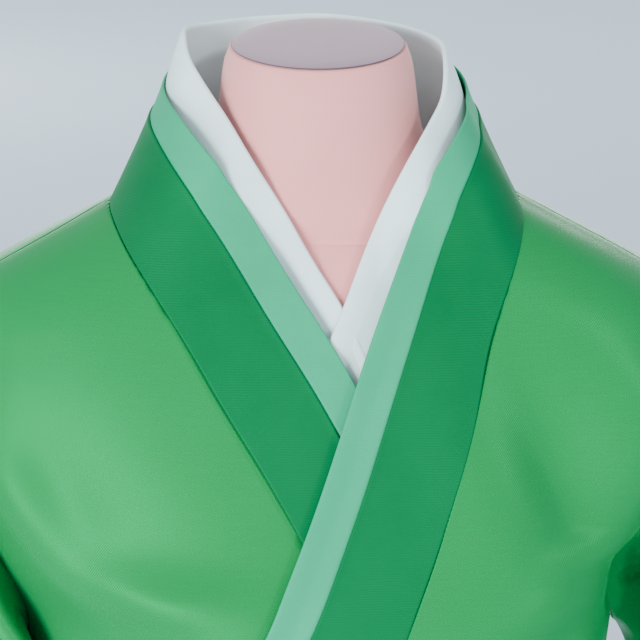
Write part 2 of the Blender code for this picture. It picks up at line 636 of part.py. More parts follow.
def sleeve_grid(side, folds, rows, columns):
    """A sleeve's surface on the wearer's left: its armhole ring, then its sections with their folds.

    It also gives the way out of the robe along the armhole, and where the sleeve's wall follows that.
    """
    mirror = np.array([side, 1, 1])
    place = np.linspace(0, len(SLEEVE_SECTIONS) - 1, rows + 1)
    keyed = np.column_stack([np.arange(len(SLEEVE_SECTIONS)), np.asarray(SLEEVE_SECTIONS)])
    top_x, top_z, low_x, low_z, depth = smooth_columns(keyed, place).T[:, :, None]
    turn = np.linspace(0, 360, columns + 1)[:-1]
    c, s = np.cos(np.radians(turn)), np.sin(np.radians(turn))

    corner = np.linspace(0, 360, 2 * ARMHOLE_ROWS + 1)
    rise, forward = np.cos(np.radians(corner)), np.sin(np.radians(corner))
    armhole_middle = (UNDERARM_Z + SHOULDER_TIP_Z) / 2
    corner_z = armhole_middle + ((SHOULDER_TIP_Z - UNDERARM_Z) / 2 - SLEEVE_SEAM_GAP) * rise
    corner_side = ARMHOLE_REACH * np.sign(forward) * np.abs(forward) ** (2 * ARMHOLE_ROUNDNESS)
    corner_side = corner_side - np.sign(forward) * gap_angle(corner_z, SLEEVE_SEAM_GAP / 2)
    corner_side = corner_side if side > 0 else 180.0 - corner_side
    lift = ROBE_INSIDE + CLOTH / 2 + UNDERARM_STAND * smoothstep(-rise, STAND_STARTS, 1.0)
    seam = robe_point(corner_side, corner_z, lift) * mirror
    armhole = np.stack([np.interp(turn, corner, seam[:, i]) for i in range(3)], axis=-1)

    push = np.zeros((len(place), columns))
    for centre, width, start, full, depth_of_fold in folds:
        away = (turn - centre + 180.0) % 360.0 - 180.0
        push += depth_of_fold * np.exp(-((away / width) ** 2)) * smoothstep(place, start, full)[:, None]
    half = np.stack([(top_x - low_x) / 2 * c, -depth * s, (top_z - low_z) / 2 * c], axis=-1)
    middle = np.stack([(top_x + low_x) / 2, 0 * top_x, (top_z + low_z) / 2], axis=-1)
    surface = middle + half + unit(half) * push[..., None]
    fade = 1 - smoothstep(place, 0, ARMHOLE_FADE)[:, None, None]
    out = unit(robe_point(corner_side, corner_z, lift + MM) * mirror - seam)
    out = np.stack([np.interp(turn, corner, out[:, i]) for i in range(3)], axis=-1)
    follow = smoothstep(c, *FOLLOWS_ROBE_ABOVE)[:, None]
    return surface + (armhole - surface[0]) * fade, out, follow


def sleeve(name, side, material):
    """The side is 1 for the wearer's left and -1 for the right, whose sections are mirrored."""
    folds = (ARMPIT_FOLDS[name], *SLEEVE_FOLDS)
    surface, armhole_out, follow = sleeve_grid(side, folds, SLEEVE_ROWS, SLEEVE_COLUMNS)
    along = np.gradient(surface, axis=0)
    around = np.roll(surface, -1, axis=1) - np.roll(surface, 1, axis=1)
    normal = unit(np.cross(along, around))
    middle = surface.mean(axis=1, keepdims=True)
    normal = normal * np.sign(np.sum(normal * (surface - middle), axis=-1, keepdims=True))
    normal[0] = unit(normal[0] + (armhole_out - normal[0]) * follow)
    mirror = np.array([side, 1, 1])
    inside = (surface - normal * CLOTH / 2) * mirror
    outside = (surface + normal * CLOTH / 2) * mirror
    return wall(name, inside, outside, material, closed=True)


def ringed(name, rings, material):
    """A closed solid through rings of points, with flat ends."""
    count = len(rings[0])
    verts = [point for ring in rings for point in ring]
    faces = [list(range(count))[::-1], list(range(len(verts) - count, len(verts)))]
    for row in range(len(rings) - 1):
        for i in range(count):
            j = (i + 1) % count
            low, high = row * count, (row + 1) * count
            faces.append([low + i, low + j, high + j, high + i])
    return make_object(name, verts, faces, material)


def form_tilt(height, y):
    """The top of the neck leans forward."""
    return height + NECK_TILT * y * smoothstep(height, NECK_TILT_FROM_Z, NECK_TOP_Z)


def form_torso(material):
    turn = np.linspace(0, 360, FORM_COLUMNS + 1)[:-1]
    rings = []
    for height, half_width, front, behind, squareness in FORM_RINGS:
        x, y = oval(turn, half_width, front, behind, squareness)
        rings.append(np.stack([x, y, form_tilt(height, y)], axis=-1))
    return ringed("form_torso", rings, material)


def form_cap(material):
    turn = np.linspace(0, 360, FORM_COLUMNS + 1)[:-1]
    low = NECK_TOP_Z + SEAM_GAP
    profile = (
        (0.0, CAP_ROUNDING),
        (CAP_ROUNDING, 0.0),
        (CAP_THICKNESS - CAP_ROUNDING, 0.0),
        (CAP_THICKNESS, CAP_ROUNDING),
    )
    rings = []
    for rise, inset in profile:
        depth = CAP_HALF_DEPTH - inset
        x, y = oval(turn, CAP_HALF_WIDTH - inset, depth, depth, 2.0)
        rings.append(np.stack([x, y, low + rise + NECK_TILT * y], axis=-1))
    return ringed("form_cap", rings, material)


def turned(name, profile, material):
    """A solid turned about the upright axis, from its lowest radius and height to its highest."""
    turn = np.radians(np.linspace(0, 360, TURNED_COLUMNS + 1)[:-1])
    rings = [np.stack([r * np.cos(turn), r * np.sin(turn), z + 0 * turn], axis=-1) for r, z in profile]
    return ringed(name, rings, material)


def stand(metal, base):
    form_bottom = FORM_RINGS[0][0]
    plate_top = form_bottom - SEAM_GAP
    turned("stand_base", (
        (BASE_RADIUS - 2 * MM, 0.0),
        (BASE_RADIUS, 2 * MM),
        (BASE_RADIUS, BASE_EDGE - 3 * MM),
        (BASE_RADIUS - 3 * MM, BASE_EDGE),
        (HUB_RADIUS + 8 * MM, BASE_EDGE + 3 * MM),
        (HUB_RADIUS, BASE_EDGE + 8 * MM),
        (HUB_RADIUS, HUB_TOP_Z - 2 * MM),
        (HUB_RADIUS - 2 * MM, HUB_TOP_Z),
    ), base)
    turned("stand_pole", (
        (POLE_RADIUS, HUB_TOP_Z + SEAM_GAP),
        (POLE_RADIUS, plate_top - PLATE_THICKNESS - 10 * MM),
        (POLE_RADIUS + 8 * MM, plate_top - PLATE_THICKNESS),
        (PLATE_RADIUS, plate_top - PLATE_THICKNESS),
        (PLATE_RADIUS, plate_top),
    ), metal)


def tie_strip(name, route, material):
    """A flat tie that hangs on the right front: a row for each point of its middle."""
    angle, height, lift = smooth_columns(
        [(i, *row) for i, row in enumerate(route)], np.linspace(0, len(route) - 1, TIE_STEPS + 1)
    ).T
    half_turn = np.degrees(TIE_WIDTH / 2 / smooth_columns(ROBE_RINGS, height)[:, 0])
    angles = np.stack([angle - half_turn, angle + half_turn])
    heights = np.stack([height, height])
    lifts = np.stack([lift, lift]) * MM
    inside = robe_point(angles, heights, lifts)
    outside = robe_point(angles, heights, lifts + TIE_THICKNESS)
    return wall(name, inside, outside, material)


def tie_knot(material):
    """A small round-edged knot on the right front beside the end of the lap."""
    middle = robe_point(KNOT_ANGLE, KNOT_Z, KNOT_LIFT)
    work = bmesh.new()
    bmesh.ops.create_cube(work, size=1.0)
    bmesh.ops.scale(work, vec=KNOT_SIZE, verts=work.verts)
    bmesh.ops.bevel(work, geom=work.edges, offset=KNOT_ROUNDING, segments=2, affect="EDGES")
    mesh = bpy.data.meshes.new("tie_knot")
    work.to_mesh(mesh)
    work.free()
    obj = bpy.data.objects.new("tie_knot", mesh)
    obj.location = middle
    obj.rotation_euler = (0, 0, math.radians(90.0 - KNOT_ANGLE))
    obj.data.materials.append(material)
    bpy.context.scene.collection.objects.link(obj)
    mesh.shade_smooth()


def make_materials():
    made = {}
    for name, (colour, roughness, metallic) in MATERIALS.items():
        material = bpy.data.materials.new(name)
        material.use_nodes = True
        shader = material.node_tree.nodes["Principled BSDF"]
        shader.inputs["Base Color"].default_value = (*colour, 1.0)
        shader.inputs["Roughness"].default_value = roughness
        shader.inputs["Metallic"].default_value = metallic
        made[name] = material
    return made


def robe(materials):
    satin = materials["bright_satin"]
    left_front(satin)
    right_front(satin)
    back(satin)
    sleeve("sleeve_left", 1, satin)
    sleeve("sleeve_right", -1, satin)

    stations = on_robe(station_curves(ROBE_COLLAR, COLLAR_STEPS))
    width = np.linalg.norm(stations[:, 3:6] - stations[:, 0:3], axis=1)
    split = stations[:, 7]
    half_gap = SEAM_GAP / 2 / width
    lifts = (ROBE_INSIDE, ROBE_INSIDE)
    dark = (0, split - half_gap)
    mint = (split + half_gap, 1)
    band("collar_dark", stations, dark, 3, lifts, DARK_BAND, robe_lap, materials["dark_ribbed"])
    band("collar_mint", stations, mint, 2, lifts, MINT_BAND, robe_lap, materials["mint"])
    white = on_robe(station_curves(WHITE_COLLAR, WHITE_STEPS), WHITE_INSIDE + WHITE_BAND)
    lifts = (WHITE_INSIDE, WHITE_INSIDE_STANDING)
    across = (np.zeros(len(white)), 1)
    band("collar_white", white, across, 3, lifts, WHITE_BAND, white_lap, materials["white_cotton"])
    tie_knot(materials["dark_ribbed"])
    for name, route in TIE_ROUTES.items():
        tie_strip(name, route, materials["dark_ribbed"])


def main():
    for obj in list(bpy.data.objects):
        bpy.data.objects.remove(obj, do_unlink=True)
    materials = make_materials()
    robe(materials)
    form_torso(materials["pink_jersey"])
    form_cap(materials["neck_cap"])
    stand(materials["stand_metal"], materials["stand_base"])


main()
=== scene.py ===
import math

import bmesh
import bpy
import numpy as np
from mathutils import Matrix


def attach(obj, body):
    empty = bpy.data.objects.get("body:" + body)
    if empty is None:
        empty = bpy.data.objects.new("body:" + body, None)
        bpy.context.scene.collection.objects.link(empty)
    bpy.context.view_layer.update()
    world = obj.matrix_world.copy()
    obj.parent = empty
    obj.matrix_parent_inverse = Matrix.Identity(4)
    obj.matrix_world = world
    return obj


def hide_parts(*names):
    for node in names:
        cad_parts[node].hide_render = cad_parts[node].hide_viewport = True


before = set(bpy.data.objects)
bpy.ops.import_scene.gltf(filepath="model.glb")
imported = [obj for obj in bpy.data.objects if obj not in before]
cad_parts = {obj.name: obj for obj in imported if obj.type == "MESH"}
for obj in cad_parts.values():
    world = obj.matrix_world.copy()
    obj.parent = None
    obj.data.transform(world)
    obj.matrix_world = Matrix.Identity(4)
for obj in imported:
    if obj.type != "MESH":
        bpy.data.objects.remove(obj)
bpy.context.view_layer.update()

# The looks of a cross-collared robe on a dress form. Metres, +Z up, the front faces -Y and the wearer's
# left is +X. Angles round the body run from the wearer's left side (0) over the front (90), the
# wearer's right side (180) and the back (270). Every cloth piece is a thin shell on the form of the
# CAD node that it replaces, with finer creases, rolled seams and turned hems.

MM = 0.001
BODY = "root"

# Heights that drive the garment, as in the CAD.
HEM_Z = 0.110
UNDERARM_Z = 1.135
SHOULDER_TIP_Z = 1.306
PANEL_TOP_Z = 1.355
NECK_POINT_Z = 1.362
NECK_TOP_Z = 1.439

# Lifts are distances out of the robe's surface.
CLOTH_MIDDLE = -0.2 * MM
CLOTH_HALF = 0.6 * MM
DARK_LIFTS = (-0.9 * MM, 1.0 * MM)
MINT_LIFTS = (-1.1 * MM, 0.3 * MM)
WHITE_LYING = (-4.2 * MM, -2.0 * MM)
WHITE_STANDING = (-2.2 * MM, 0.0 * MM)
CHEST_LAP_LIFT = 4.0 * MM
SKIRT_LAP_LIFT = 8.0 * MM
WHITE_LAP_DROP = 2.6 * MM
WHITE_OUTSIDE = -2.0 * MM
WHITE_SINK = 2.6 * MM
WHITE_SINKS_OVER = (5 * MM, 17 * MM)
WHITE_SINKS_LYING = (0.2, 0.9)
WHITE_SWELL = 1.8 * MM
WHITE_SWELLS_AT = 0.78
WHITE_SWELLS_OVER = 0.20
WHITE_SWELL_ENDS = (0.0, 0.06)
# Painted shade: the white collar's outer part, where it rolls under the mint strip, is mixed towards a
# grey-green that stands for the mint's shadow and its reflected green light.
WHITE_PAINTED_SHADE = (0.40, 0.66, 0.58)
WHITE_PAINTED_SHADE_SHARE = 0.3
WHITE_PAINTED_SHADE_OVER = (-0.019, -0.009)
MINT_RAISED = 2.4 * MM

ARMHOLE_REACH = 22.0
ARMHOLE_ROUNDNESS = 0.45
LAP_STARTS = 12.0
LAP_FULL = 40.0
CHEST_LAP_ABOVE_Z = 1.08
SKIRT_LAP_BELOW_Z = 0.80
LEFT_SEAM_FORWARD = 5.0
RIGHT_SEAM_FORWARD = 12.0

# Seams roll the cloth's edge under, and the panels and the mint strip run on under the dark strip.
SEAM_DIP = 1.3 * MM
SEAM_ROLL = 1.5 * MM
TUCK_DROP = 2.0 * MM
TUCK_ROLL = 0.5 * MM
TUCK_UP = 3.5 * MM
TUCK_SIDEWAYS = 2.5 * MM
COLLAR_SOFTNESS = 16 * MM
WHITE_SOFTNESS = 6 * MM
RINGS_SOFTNESS = 6.0
DARK_OVER_MINT = 0.2 * MM
MINT_UNDER_DARK = 3.2 * MM
TUCK_TOP_GAP = 0.0004
BACK_TUCK_SHARE = 0.8

# A front's edge goes under the collar over these heights from the collar's end, and each of its rows
# spans at least this angle.
COLLAR_STARTS_OVER = (-0.002, 0.004)
LEAST_WIDTH = 0.4

# The turned hem stands a little proud, with a dent where its stitches run.
HEM_DEPTH = 25 * MM
HEM_PROUD = 0.25 * MM
HEM_DENT = 0.35 * MM
STITCH_WIDTH = 0.8 * MM

# How finely the pieces are drawn: the columns and rows of their grids, the stations along the collars,
# and the steps that tell which way the robe's surface faces.
LEFT_COLUMNS = 92
RIGHT_COLUMNS = 76
BACK_COLUMNS = 118
SLEEVE_COLUMNS = 132
SLEEVE_CAP_ROWS = 16
SLEEVE_CAP_CLOSENESS = 1.4
SLEEVE_ROWS = 100
CUFF_STARTS = 0.42
DARK_ROWS = 22
MINT_ROWS = 14
WHITE_ROWS = 30
FRONT_SEAM_STATIONS = 600
BACK_SEAM_STATIONS = 800
ROBE_COLLAR_STATIONS = 330
WHITE_COLLAR_STATIONS = 260
FRAME_TURN = 0.4
FRAME_RISE = 0.001
HEM_ROWS = np.array([0.0, 0.12, 0.35, 0.7, 1.2, 2.0, 3.2, 5.0, 8.0]) * MM
STITCH_ROWS = np.array([-2.0, -0.9, -0.3, 0.3, 0.9, 2.0]) * MM
NECK_ROWS = np.array([0.2, 0.4, 0.6, 0.75, 0.88, 1.0])
SKIRT_STARTS = 0.013
SKIRT_STEP = 0.0082
WAIST_Z = 1.03
WAIST_STEP = 0.0046
SHOULDER_STEP = 0.0012
ARMHOLE_ROWS = 60
ROW_SAMPLES = 161
EDGE_STEPS = np.array([0.0, 0.12, 0.35, 0.7, 1.2, 2.0, 3.2, 5.0]) * MM
TUCK_STEPS = np.array([0.0, 0.35, 1.0, 1.8, 2.3, 2.8, 3.2, 3.6, 4.0, 4.5, 5.2]) * MM

# The robe on the form, as rings: height, half width, depth of the front and of the back, squareness.
ROBE_RINGS = (
    (0.110, 0.248, 0.186, 0.190, 2.0),
    (0.400, 0.212, 0.166, 0.164, 2.05),
    (0.700, 0.172, 0.142, 0.132, 2.1),
    (0.900, 0.150, 0.130, 0.108, 2.2),
    (1.000, 0.142, 0.124, 0.094, 2.2),
    (1.090, 0.150, 0.129, 0.097, 2.2),
    (1.135, 0.156, 0.127, 0.100, 2.3),
    (1.180, 0.166, 0.120, 0.104, 2.4),
    (1.205, 0.177, 0.114, 0.105, 2.5),
    (1.230, 0.187, 0.108, 0.106, 2.5),
    (1.270, 0.197, 0.096, 0.104, 2.5),
    (1.300, 0.197, 0.085, 0.100, 2.4),
    (1.315, 0.187, 0.079, 0.097, 2.3),
    (1.330, 0.165, 0.072, 0.094, 2.2),
    (1.345, 0.136, 0.064, 0.089, 2.1),
    (1.360, 0.107, 0.052, 0.083, 2.0),
    (1.375, 0.080, 0.040, 0.076, 2.0),
    (1.390, 0.050, 0.030, 0.062, 2.0),
)

# Folds of the robe round the body: angle, half angle, height where it starts, height of full depth,
# depth. The first rows are the CAD's, and the narrow ones after them are the creases between.
ROBE_FOLDS = (
    (14.0, 7.0, 1.06, 0.40, 0.012),
    (30.0, 7.5, 1.02, 0.30, -0.011),
    (48.0, 8.0, 1.05, 0.25, 0.013),
    (66.0, 7.5, 0.98, 0.30, -0.010),
    (84.0, 8.0, 1.00, 0.20, 0.011),
    (103.0, 8.0, 1.03, 0.25, -0.012),
    (121.0, 7.5, 1.04, 0.30, 0.012),
    (138.0, 7.0, 0.98, 0.35, -0.010),
    (154.0, 7.0, 1.02, 0.30, 0.011),
    (176.0, 7.5, 1.04, 0.35, 0.010),
    (195.0, 7.5, 1.03, 0.30, -0.011),
    (213.0, 8.0, 1.06, 0.25, 0.012),
    (232.0, 8.0, 1.00, 0.30, -0.011),
    (250.0, 8.0, 1.02, 0.25, 0.012),
    (270.0, 8.5, 1.08, 0.20, -0.012),
    (289.0, 8.0, 1.03, 0.25, 0.013),
    (308.0, 8.0, 1.00, 0.30, -0.011),
    (327.0, 8.0, 1.05, 0.30, 0.012),
    (345.0, 7.0, 1.02, 0.35, -0.010),
    (22.0, 3.4, 0.88, 0.35, 0.0051),
    (39.0, 2.8, 0.74, 0.22, -0.0044),
    (57.0, 3.2, 0.95, 0.50, 0.0048),
    (75.0, 3.6, 0.80, 0.30, 0.0058),
    (93.5, 2.6, 0.66, 0.20, -0.0041),
    (112.0, 3.3, 0.92, 0.42, 0.0051),
    (130.0, 2.9, 0.86, 0.28, 0.0054),
    (166.0, 3.5, 0.80, 0.30, -0.0051),
    (186.0, 3.0, 0.93, 0.40, 0.0051),
    (204.0, 3.4, 0.78, 0.24, 0.0048),
    (222.0, 2.8, 0.90, 0.45, -0.0048),
    (241.0, 3.4, 0.70, 0.20, 0.0054),
    (260.0, 3.0, 0.94, 0.50, 0.0051),
    (280.0, 3.2, 0.84, 0.30, 0.0051),
    (298.0, 2.7, 0.72, 0.22, -0.0044),
    (317.0, 3.4, 0.92, 0.36, 0.0054),
    (336.0, 3.0, 0.80, 0.30, -0.0048),
    (354.0, 3.1, 0.90, 0.40, 0.0051),
)

# Soft creases of the body: the side that they are on (1 front, -1 back), x, height, half length, half
# width, slant and depth. Those on the chest follow the photo, and the others are like them.
BODY_CREASES = (
    (1, -0.127, 1.134, 0.046, 0.022, -26.0, -0.0085),
    (1, -0.094, 1.170, 0.050, 0.017, -12.0, 0.0075),
    (1, 0.128, 1.228, 0.062, 0.023, -62.0, -0.0088),
    (1, 0.086, 1.222, 0.075, 0.026, -68.0, 0.0036),
    (1, 0.168, 1.252, 0.060, 0.024, -64.0, 0.0065),
    (1, 0.088, 1.148, 0.066, 0.019, 22.0, 0.0085),
    (1, -0.143, 1.206, 0.036, 0.013, -62.0, 0.0080),
    (1, 0.114, 1.114, 0.044, 0.013, 44.0, 0.0050),
    (1, 0.092, 1.128, 0.040, 0.013, 32.0, -0.0040),
    (1, 0.160, 1.196, 0.026, 0.018, 70.0, 0.0050),
    (1, -0.050, 1.168, 0.034, 0.012, 2.0, 0.0035),
    (1, 0.163, 1.236, 0.045, 0.022, 84.0, 0.0100),
    (1, 0.166, 1.166, 0.026, 0.013, 88.0, -0.0200),
    (1, 0.143, 1.190, 0.026, 0.007, 14.0, 0.0055),
    (1, -0.166, 1.190, 0.075, 0.024, 88.0, 0.0100),
    (-1, -0.120, 1.175, 0.075, 0.015, 42.0, 0.0035),
    (-1, 0.124, 1.165, 0.068, 0.014, -38.0, 0.0035),
    (-1, -0.100, 1.120, 0.060, 0.020, 30.0, -0.0050),
    (-1, 0.108, 1.112, 0.064, 0.018, -26.0, -0.0045),
    (-1, 0.010, 1.020, 0.075, 0.014, 4.0, -0.0035),
    (-1, -0.030, 0.985, 0.060, 0.010, -7.0, 0.0025),
    (1, 0.060, 1.010, 0.050, 0.012, 12.0, -0.0030),
    (1, 0.090, 0.975, 0.055, 0.010, 24.0, 0.0025),
    (1, -0.095, 0.965, 0.052, 0.012, -28.0, -0.0030),
    (1, -0.080, 0.900, 0.060, 0.010, -12.0, 0.0022),
)
CREASES_FADE = 0.35

# The robe's collar, a row for each station from the wearer's right end, under the lap, round the neck
# to the wearer's left end. outer is the seam with the body, inner the free edge, hug how closely the
# band follows the body (0 where it stands up round the neck), dark the share of it that is dark green.
ROBE_COLLAR = (
    # outer x, y, z          inner x, y, z            hug   dark
    (0.098, -0.088, 1.010, 0.104, -0.088, 1.112, 1.0, 0.68),
    (0.056, -0.118, 1.087, 0.085, -0.100, 1.156, 1.0, 0.68),
    (0.020, -0.123, 1.150, 0.056, -0.108, 1.213, 1.0, 0.68),
    (-0.009, -0.115, 1.201, 0.026, -0.097, 1.264, 1.0, 0.68),
    (-0.030, -0.106, 1.237, 0.006, -0.086, 1.298, 1.0, 0.68),
    (-0.047, -0.098, 1.262, -0.009, -0.075, 1.319, 1.0, 0.68),
    (-0.065, -0.086, 1.292, -0.028, -0.066, 1.348, 0.6, 0.68),
    (-0.085, -0.068, 1.323, -0.048, -0.057, 1.378, 0.0, 0.68),
    (-0.097, -0.049, 1.342, -0.063, -0.045, 1.396, 0.0, 0.70),
    (-0.1035, -0.028, 1.3535, -0.0757, -0.030, 1.410, 0.0, 0.72),
    (-0.1045, 0.000, 1.3612, -0.083, -0.001, 1.4175, 0.0, 0.74),
    (-0.095, 0.032, 1.364, -0.0785, 0.026, 1.426, 0.0, 0.74),
    (-0.059, 0.066, 1.369, -0.053, 0.0565, 1.433, 0.0, 0.73),
    (0.000, 0.079, 1.372, 0.000, 0.069, 1.436, 0.0, 0.72),
    (0.058, 0.066, 1.370, 0.050, 0.0565, 1.433, 0.0, 0.73),
    (0.091, 0.032, 1.366, 0.0745, 0.026, 1.4255, 0.0, 0.75),
    (0.1000, 0.000, 1.3640, 0.0797, -0.001, 1.4155, 0.0, 0.76),
    (0.1005, -0.030, 1.3545, 0.0735, -0.035, 1.404, 0.0, 0.735),
    (0.099, -0.055, 1.336, 0.0650, -0.049, 1.388, 0.0, 0.70),
    (0.093, -0.072, 1.314, 0.053, -0.061, 1.363, 0.1, 0.69),
    (0.083, -0.089, 1.278, 0.037, -0.074, 1.3236, 1.0, 0.68),
    (0.072, -0.102, 1.2385, 0.0225, -0.090, 1.2845, 1.0, 0.68),
    (0.0616, -0.112, 1.199, 0.0098, -0.103, 1.246, 1.0, 0.68),
    (0.0434, -0.122, 1.1506, -0.0085, -0.117, 1.195, 1.0, 0.68),
    (0.012, -0.128, 1.080, -0.040, -0.120, 1.122, 1.0, 0.68),
    (-0.027, -0.122, 1.005, -0.082, -0.108, 1.048, 1.0, 0.68),
    (-0.080, -0.112, 0.918, -0.115, -0.083, 0.985, 1.0, 0.68),
    (-0.144, -0.054, 0.805, -0.136, -0.054, 0.932, 1.0, 0.68),
)

# The white inner collar, in the same order. It rests on the form's shoulders inside the robe's collar.
WHITE_COLLAR = (
    # outer x, y, z          inner x, y, z            hug
    (0.012, -0.112, 1.172, 0.055, -0.098, 1.225, 1.0),
    (-0.008, -0.107, 1.205, 0.042, -0.094, 1.255, 1.0),
    (-0.024, -0.100, 1.232, 0.028, -0.088, 1.285, 1.0),
    (-0.040, -0.092, 1.258, 0.0129, -0.0788, 1.3152, 1.0),
    (-0.056, -0.084, 1.284, -0.0005, -0.069, 1.3353, 0.9),
    (-0.071, -0.076, 1.308, -0.0197, -0.056, 1.365, 0.1),
    (-0.084, -0.063, 1.328, -0.0349, -0.0475, 1.387, 0.0),
    (-0.0935, -0.042, 1.350, -0.0485, -0.034, 1.407, 0.0),
    (-0.0985, -0.020, 1.3595, -0.0623, -0.020, 1.425, 0.0),
    (-0.099, 0.000, 1.3635, -0.0695, -0.002, 1.4385, 0.0),
    (-0.092, 0.022, 1.3655, -0.0712, 0.018, 1.4470, 0.0),
    (-0.073, 0.043, 1.3690, -0.0580, 0.0415, 1.4475, 0.0),
    (-0.042, 0.061, 1.3715, -0.033, 0.0575, 1.449, 0.0),
    (0.000, 0.070, 1.373, 0.000, 0.064, 1.450, 0.0),
    (0.042, 0.061, 1.3715, 0.033, 0.0575, 1.447, 0.0),
    (0.072, 0.042, 1.3695, 0.0550, 0.0415, 1.443, 0.0),
    (0.089, 0.022, 1.3670, 0.0665, 0.018, 1.438, 0.0),
    (0.0945, 0.000, 1.3660, 0.0668, -0.004, 1.430, 0.0),
    (0.0945, -0.020, 1.3615, 0.0651, -0.020, 1.4157, 0.0),
    (0.0905, -0.040, 1.3530, 0.0599, -0.030, 1.4064, 0.0),
    (0.084, -0.060, 1.334, 0.0513, -0.044, 1.3933, 0.0),
    (0.078, -0.073, 1.313, 0.0425, -0.052, 1.379, 0.0),
    (0.070, -0.082, 1.289, 0.0322, -0.059, 1.3596, 0.1),
    (0.060, -0.089, 1.267, 0.0219, -0.068, 1.3376, 0.9),
    (0.050, -0.095, 1.247, 0.0129, -0.079, 1.3152, 1.0),
    (0.036, -0.102, 1.219, 0.0010, -0.088, 1.288, 1.0),
    (0.022, -0.109, 1.191, -0.013, -0.097, 1.258, 1.0),
    (0.006, -0.114, 1.163, -0.030, -0.104, 1.224, 1.0),
)

# The sleeves, as sections from the armhole to the cuff, given on the wearer's left: the shoulder side
# x and z, the underarm side x and z, and half the depth.
SLEEVE_SECTIONS = (
    (0.1970, 1.306, 0.1560, 1.135, 0.055),
    (0.2120, 1.296, 0.1610, 1.118, 0.058),
    (0.2290, 1.270, 0.1660, 1.095, 0.059),
    (0.2420, 1.232, 0.1700, 1.064, 0.057),
    (0.2520, 1.180, 0.1740, 1.026, 0.055),
    (0.2630, 1.100, 0.1780, 0.965, 0.055),
    (0.2770, 0.995, 0.1840, 0.885, 0.057),
    (0.2920, 0.880, 0.1930, 0.790, 0.060),
    (0.3050, 0.770, 0.2030, 0.695, 0.063),
    (0.3160, 0.665, 0.2120, 0.615, 0.066),
)
ARMHOLE_FADE = 3.0
UNDERARM_STAND = 2.4 * MM
STAND_STARTS = 0.4
FOLLOWS_ROBE_ABOVE = (-0.8, -0.3)
SLEEVE_LIFT = -0.4 * MM
SLEEVE_TUCK = 1.2
SLEEVE_TUCK_DROP = 1.3 * MM
SLEEVE_SEAM_DIP = SEAM_DIP * 0.6
FOLLOWS_ROBE_OVER = 0.012
CUFF_STEPS = np.array([
    0.42, 0.40, 0.385, 0.375, 0.365, 0.35, 0.30, 0.22, 0.15, 0.1, 0.06, 0.035, 0.018, 0.008, 0.003, 0.0,
])

# The folds of the sleeves: angle from the shoulder side over the front, half angle, the section where
# it starts, the section of full depth, depth. The last rows are finer than the CAD's.
ARMPIT_FOLDS = {
    "sleeve_left": (150.0, 15.0, 0.0, 2.2, -0.022),
    "sleeve_right": (152.0, 15.0, 0.0, 2.5, -0.005),
}
SLEEVE_FOLDS = (
    (122.0, 12.0, 1.5, 5.0, 0.010),
    (98.0, 12.0, 2.5, 7.0, -0.012),
    (72.0, 12.0, 2.0, 7.0, 0.011),
    (44.0, 13.0, 2.5, 8.0, -0.010),
    (320.0, 13.0, 2.5, 8.0, -0.009),
    (292.0, 12.0, 2.0, 7.0, 0.011),
    (265.0, 12.0, 2.5, 7.0, -0.012),
    (238.0, 12.0, 1.5, 6.0, 0.010),
    (211.0, 14.0, 0.4, 3.0, -0.018),
    (84.0, 5.0, 3.5, 7.5, 0.0024),
    (58.0, 5.5, 4.0, 8.0, 0.0022),
    (20.0, 6.0, 3.0, 8.0, 0.0026),
    (340.0, 6.0, 3.5, 8.5, 0.0024),
    (305.0, 5.0, 4.0, 8.0, -0.0022),
    (250.0, 5.5, 3.5, 7.0, -0.0024),
    (180.0, 6.0, 4.0, 8.5, 0.0026),
)

# Creases across the sleeves: section, angle, half length as an angle, half width in sections, slant in
# sections for each degree, depth. Those beside the armpit are not alike: the wearer's left one is drawn
# in deep, and the right one is drawn out over the gap beside the body.
ARMPIT_CREASES = {
    "sleeve_left": (
        (1.1, 130.0, 36.0, 1.0, 0.0, -0.0320),
    ),
    "sleeve_right": (
        (0.9, 112.0, 34.0, 1.1, 0.0, 0.0200),
    ),
}

SLEEVE_CREASES = (
    (1.8, 96.0, 34.0, 0.26, 0.012, -0.0030),
    (2.5, 104.0, 30.0, 0.22, 0.016, 0.0024),
    (5.4, 168.0, 40.0, 0.24, 0.006, -0.0036),
    (5.9, 160.0, 36.0, 0.22, 0.004, 0.0028),
    (6.5, 176.0, 44.0, 0.26, -0.004, -0.0032),
    (1.9, 258.0, 32.0, 0.26, -0.012, -0.0030),
    (2.6, 250.0, 30.0, 0.22, -0.015, 0.0024),
    (5.2, 206.0, 30.0, 0.22, -0.006, 0.0026),
)

# How far the sleeves are drawn to the body and to the front beside the armpit, and where: section, angle
# and reach in both.
ARMPIT_DRAWN = {"sleeve_left": (-0.018, -0.042), "sleeve_right": (0.027, 0.040)}
DRAWN_AT = (1.8, 150.0)
DRAWN_OVER = (1.1, 33.0)

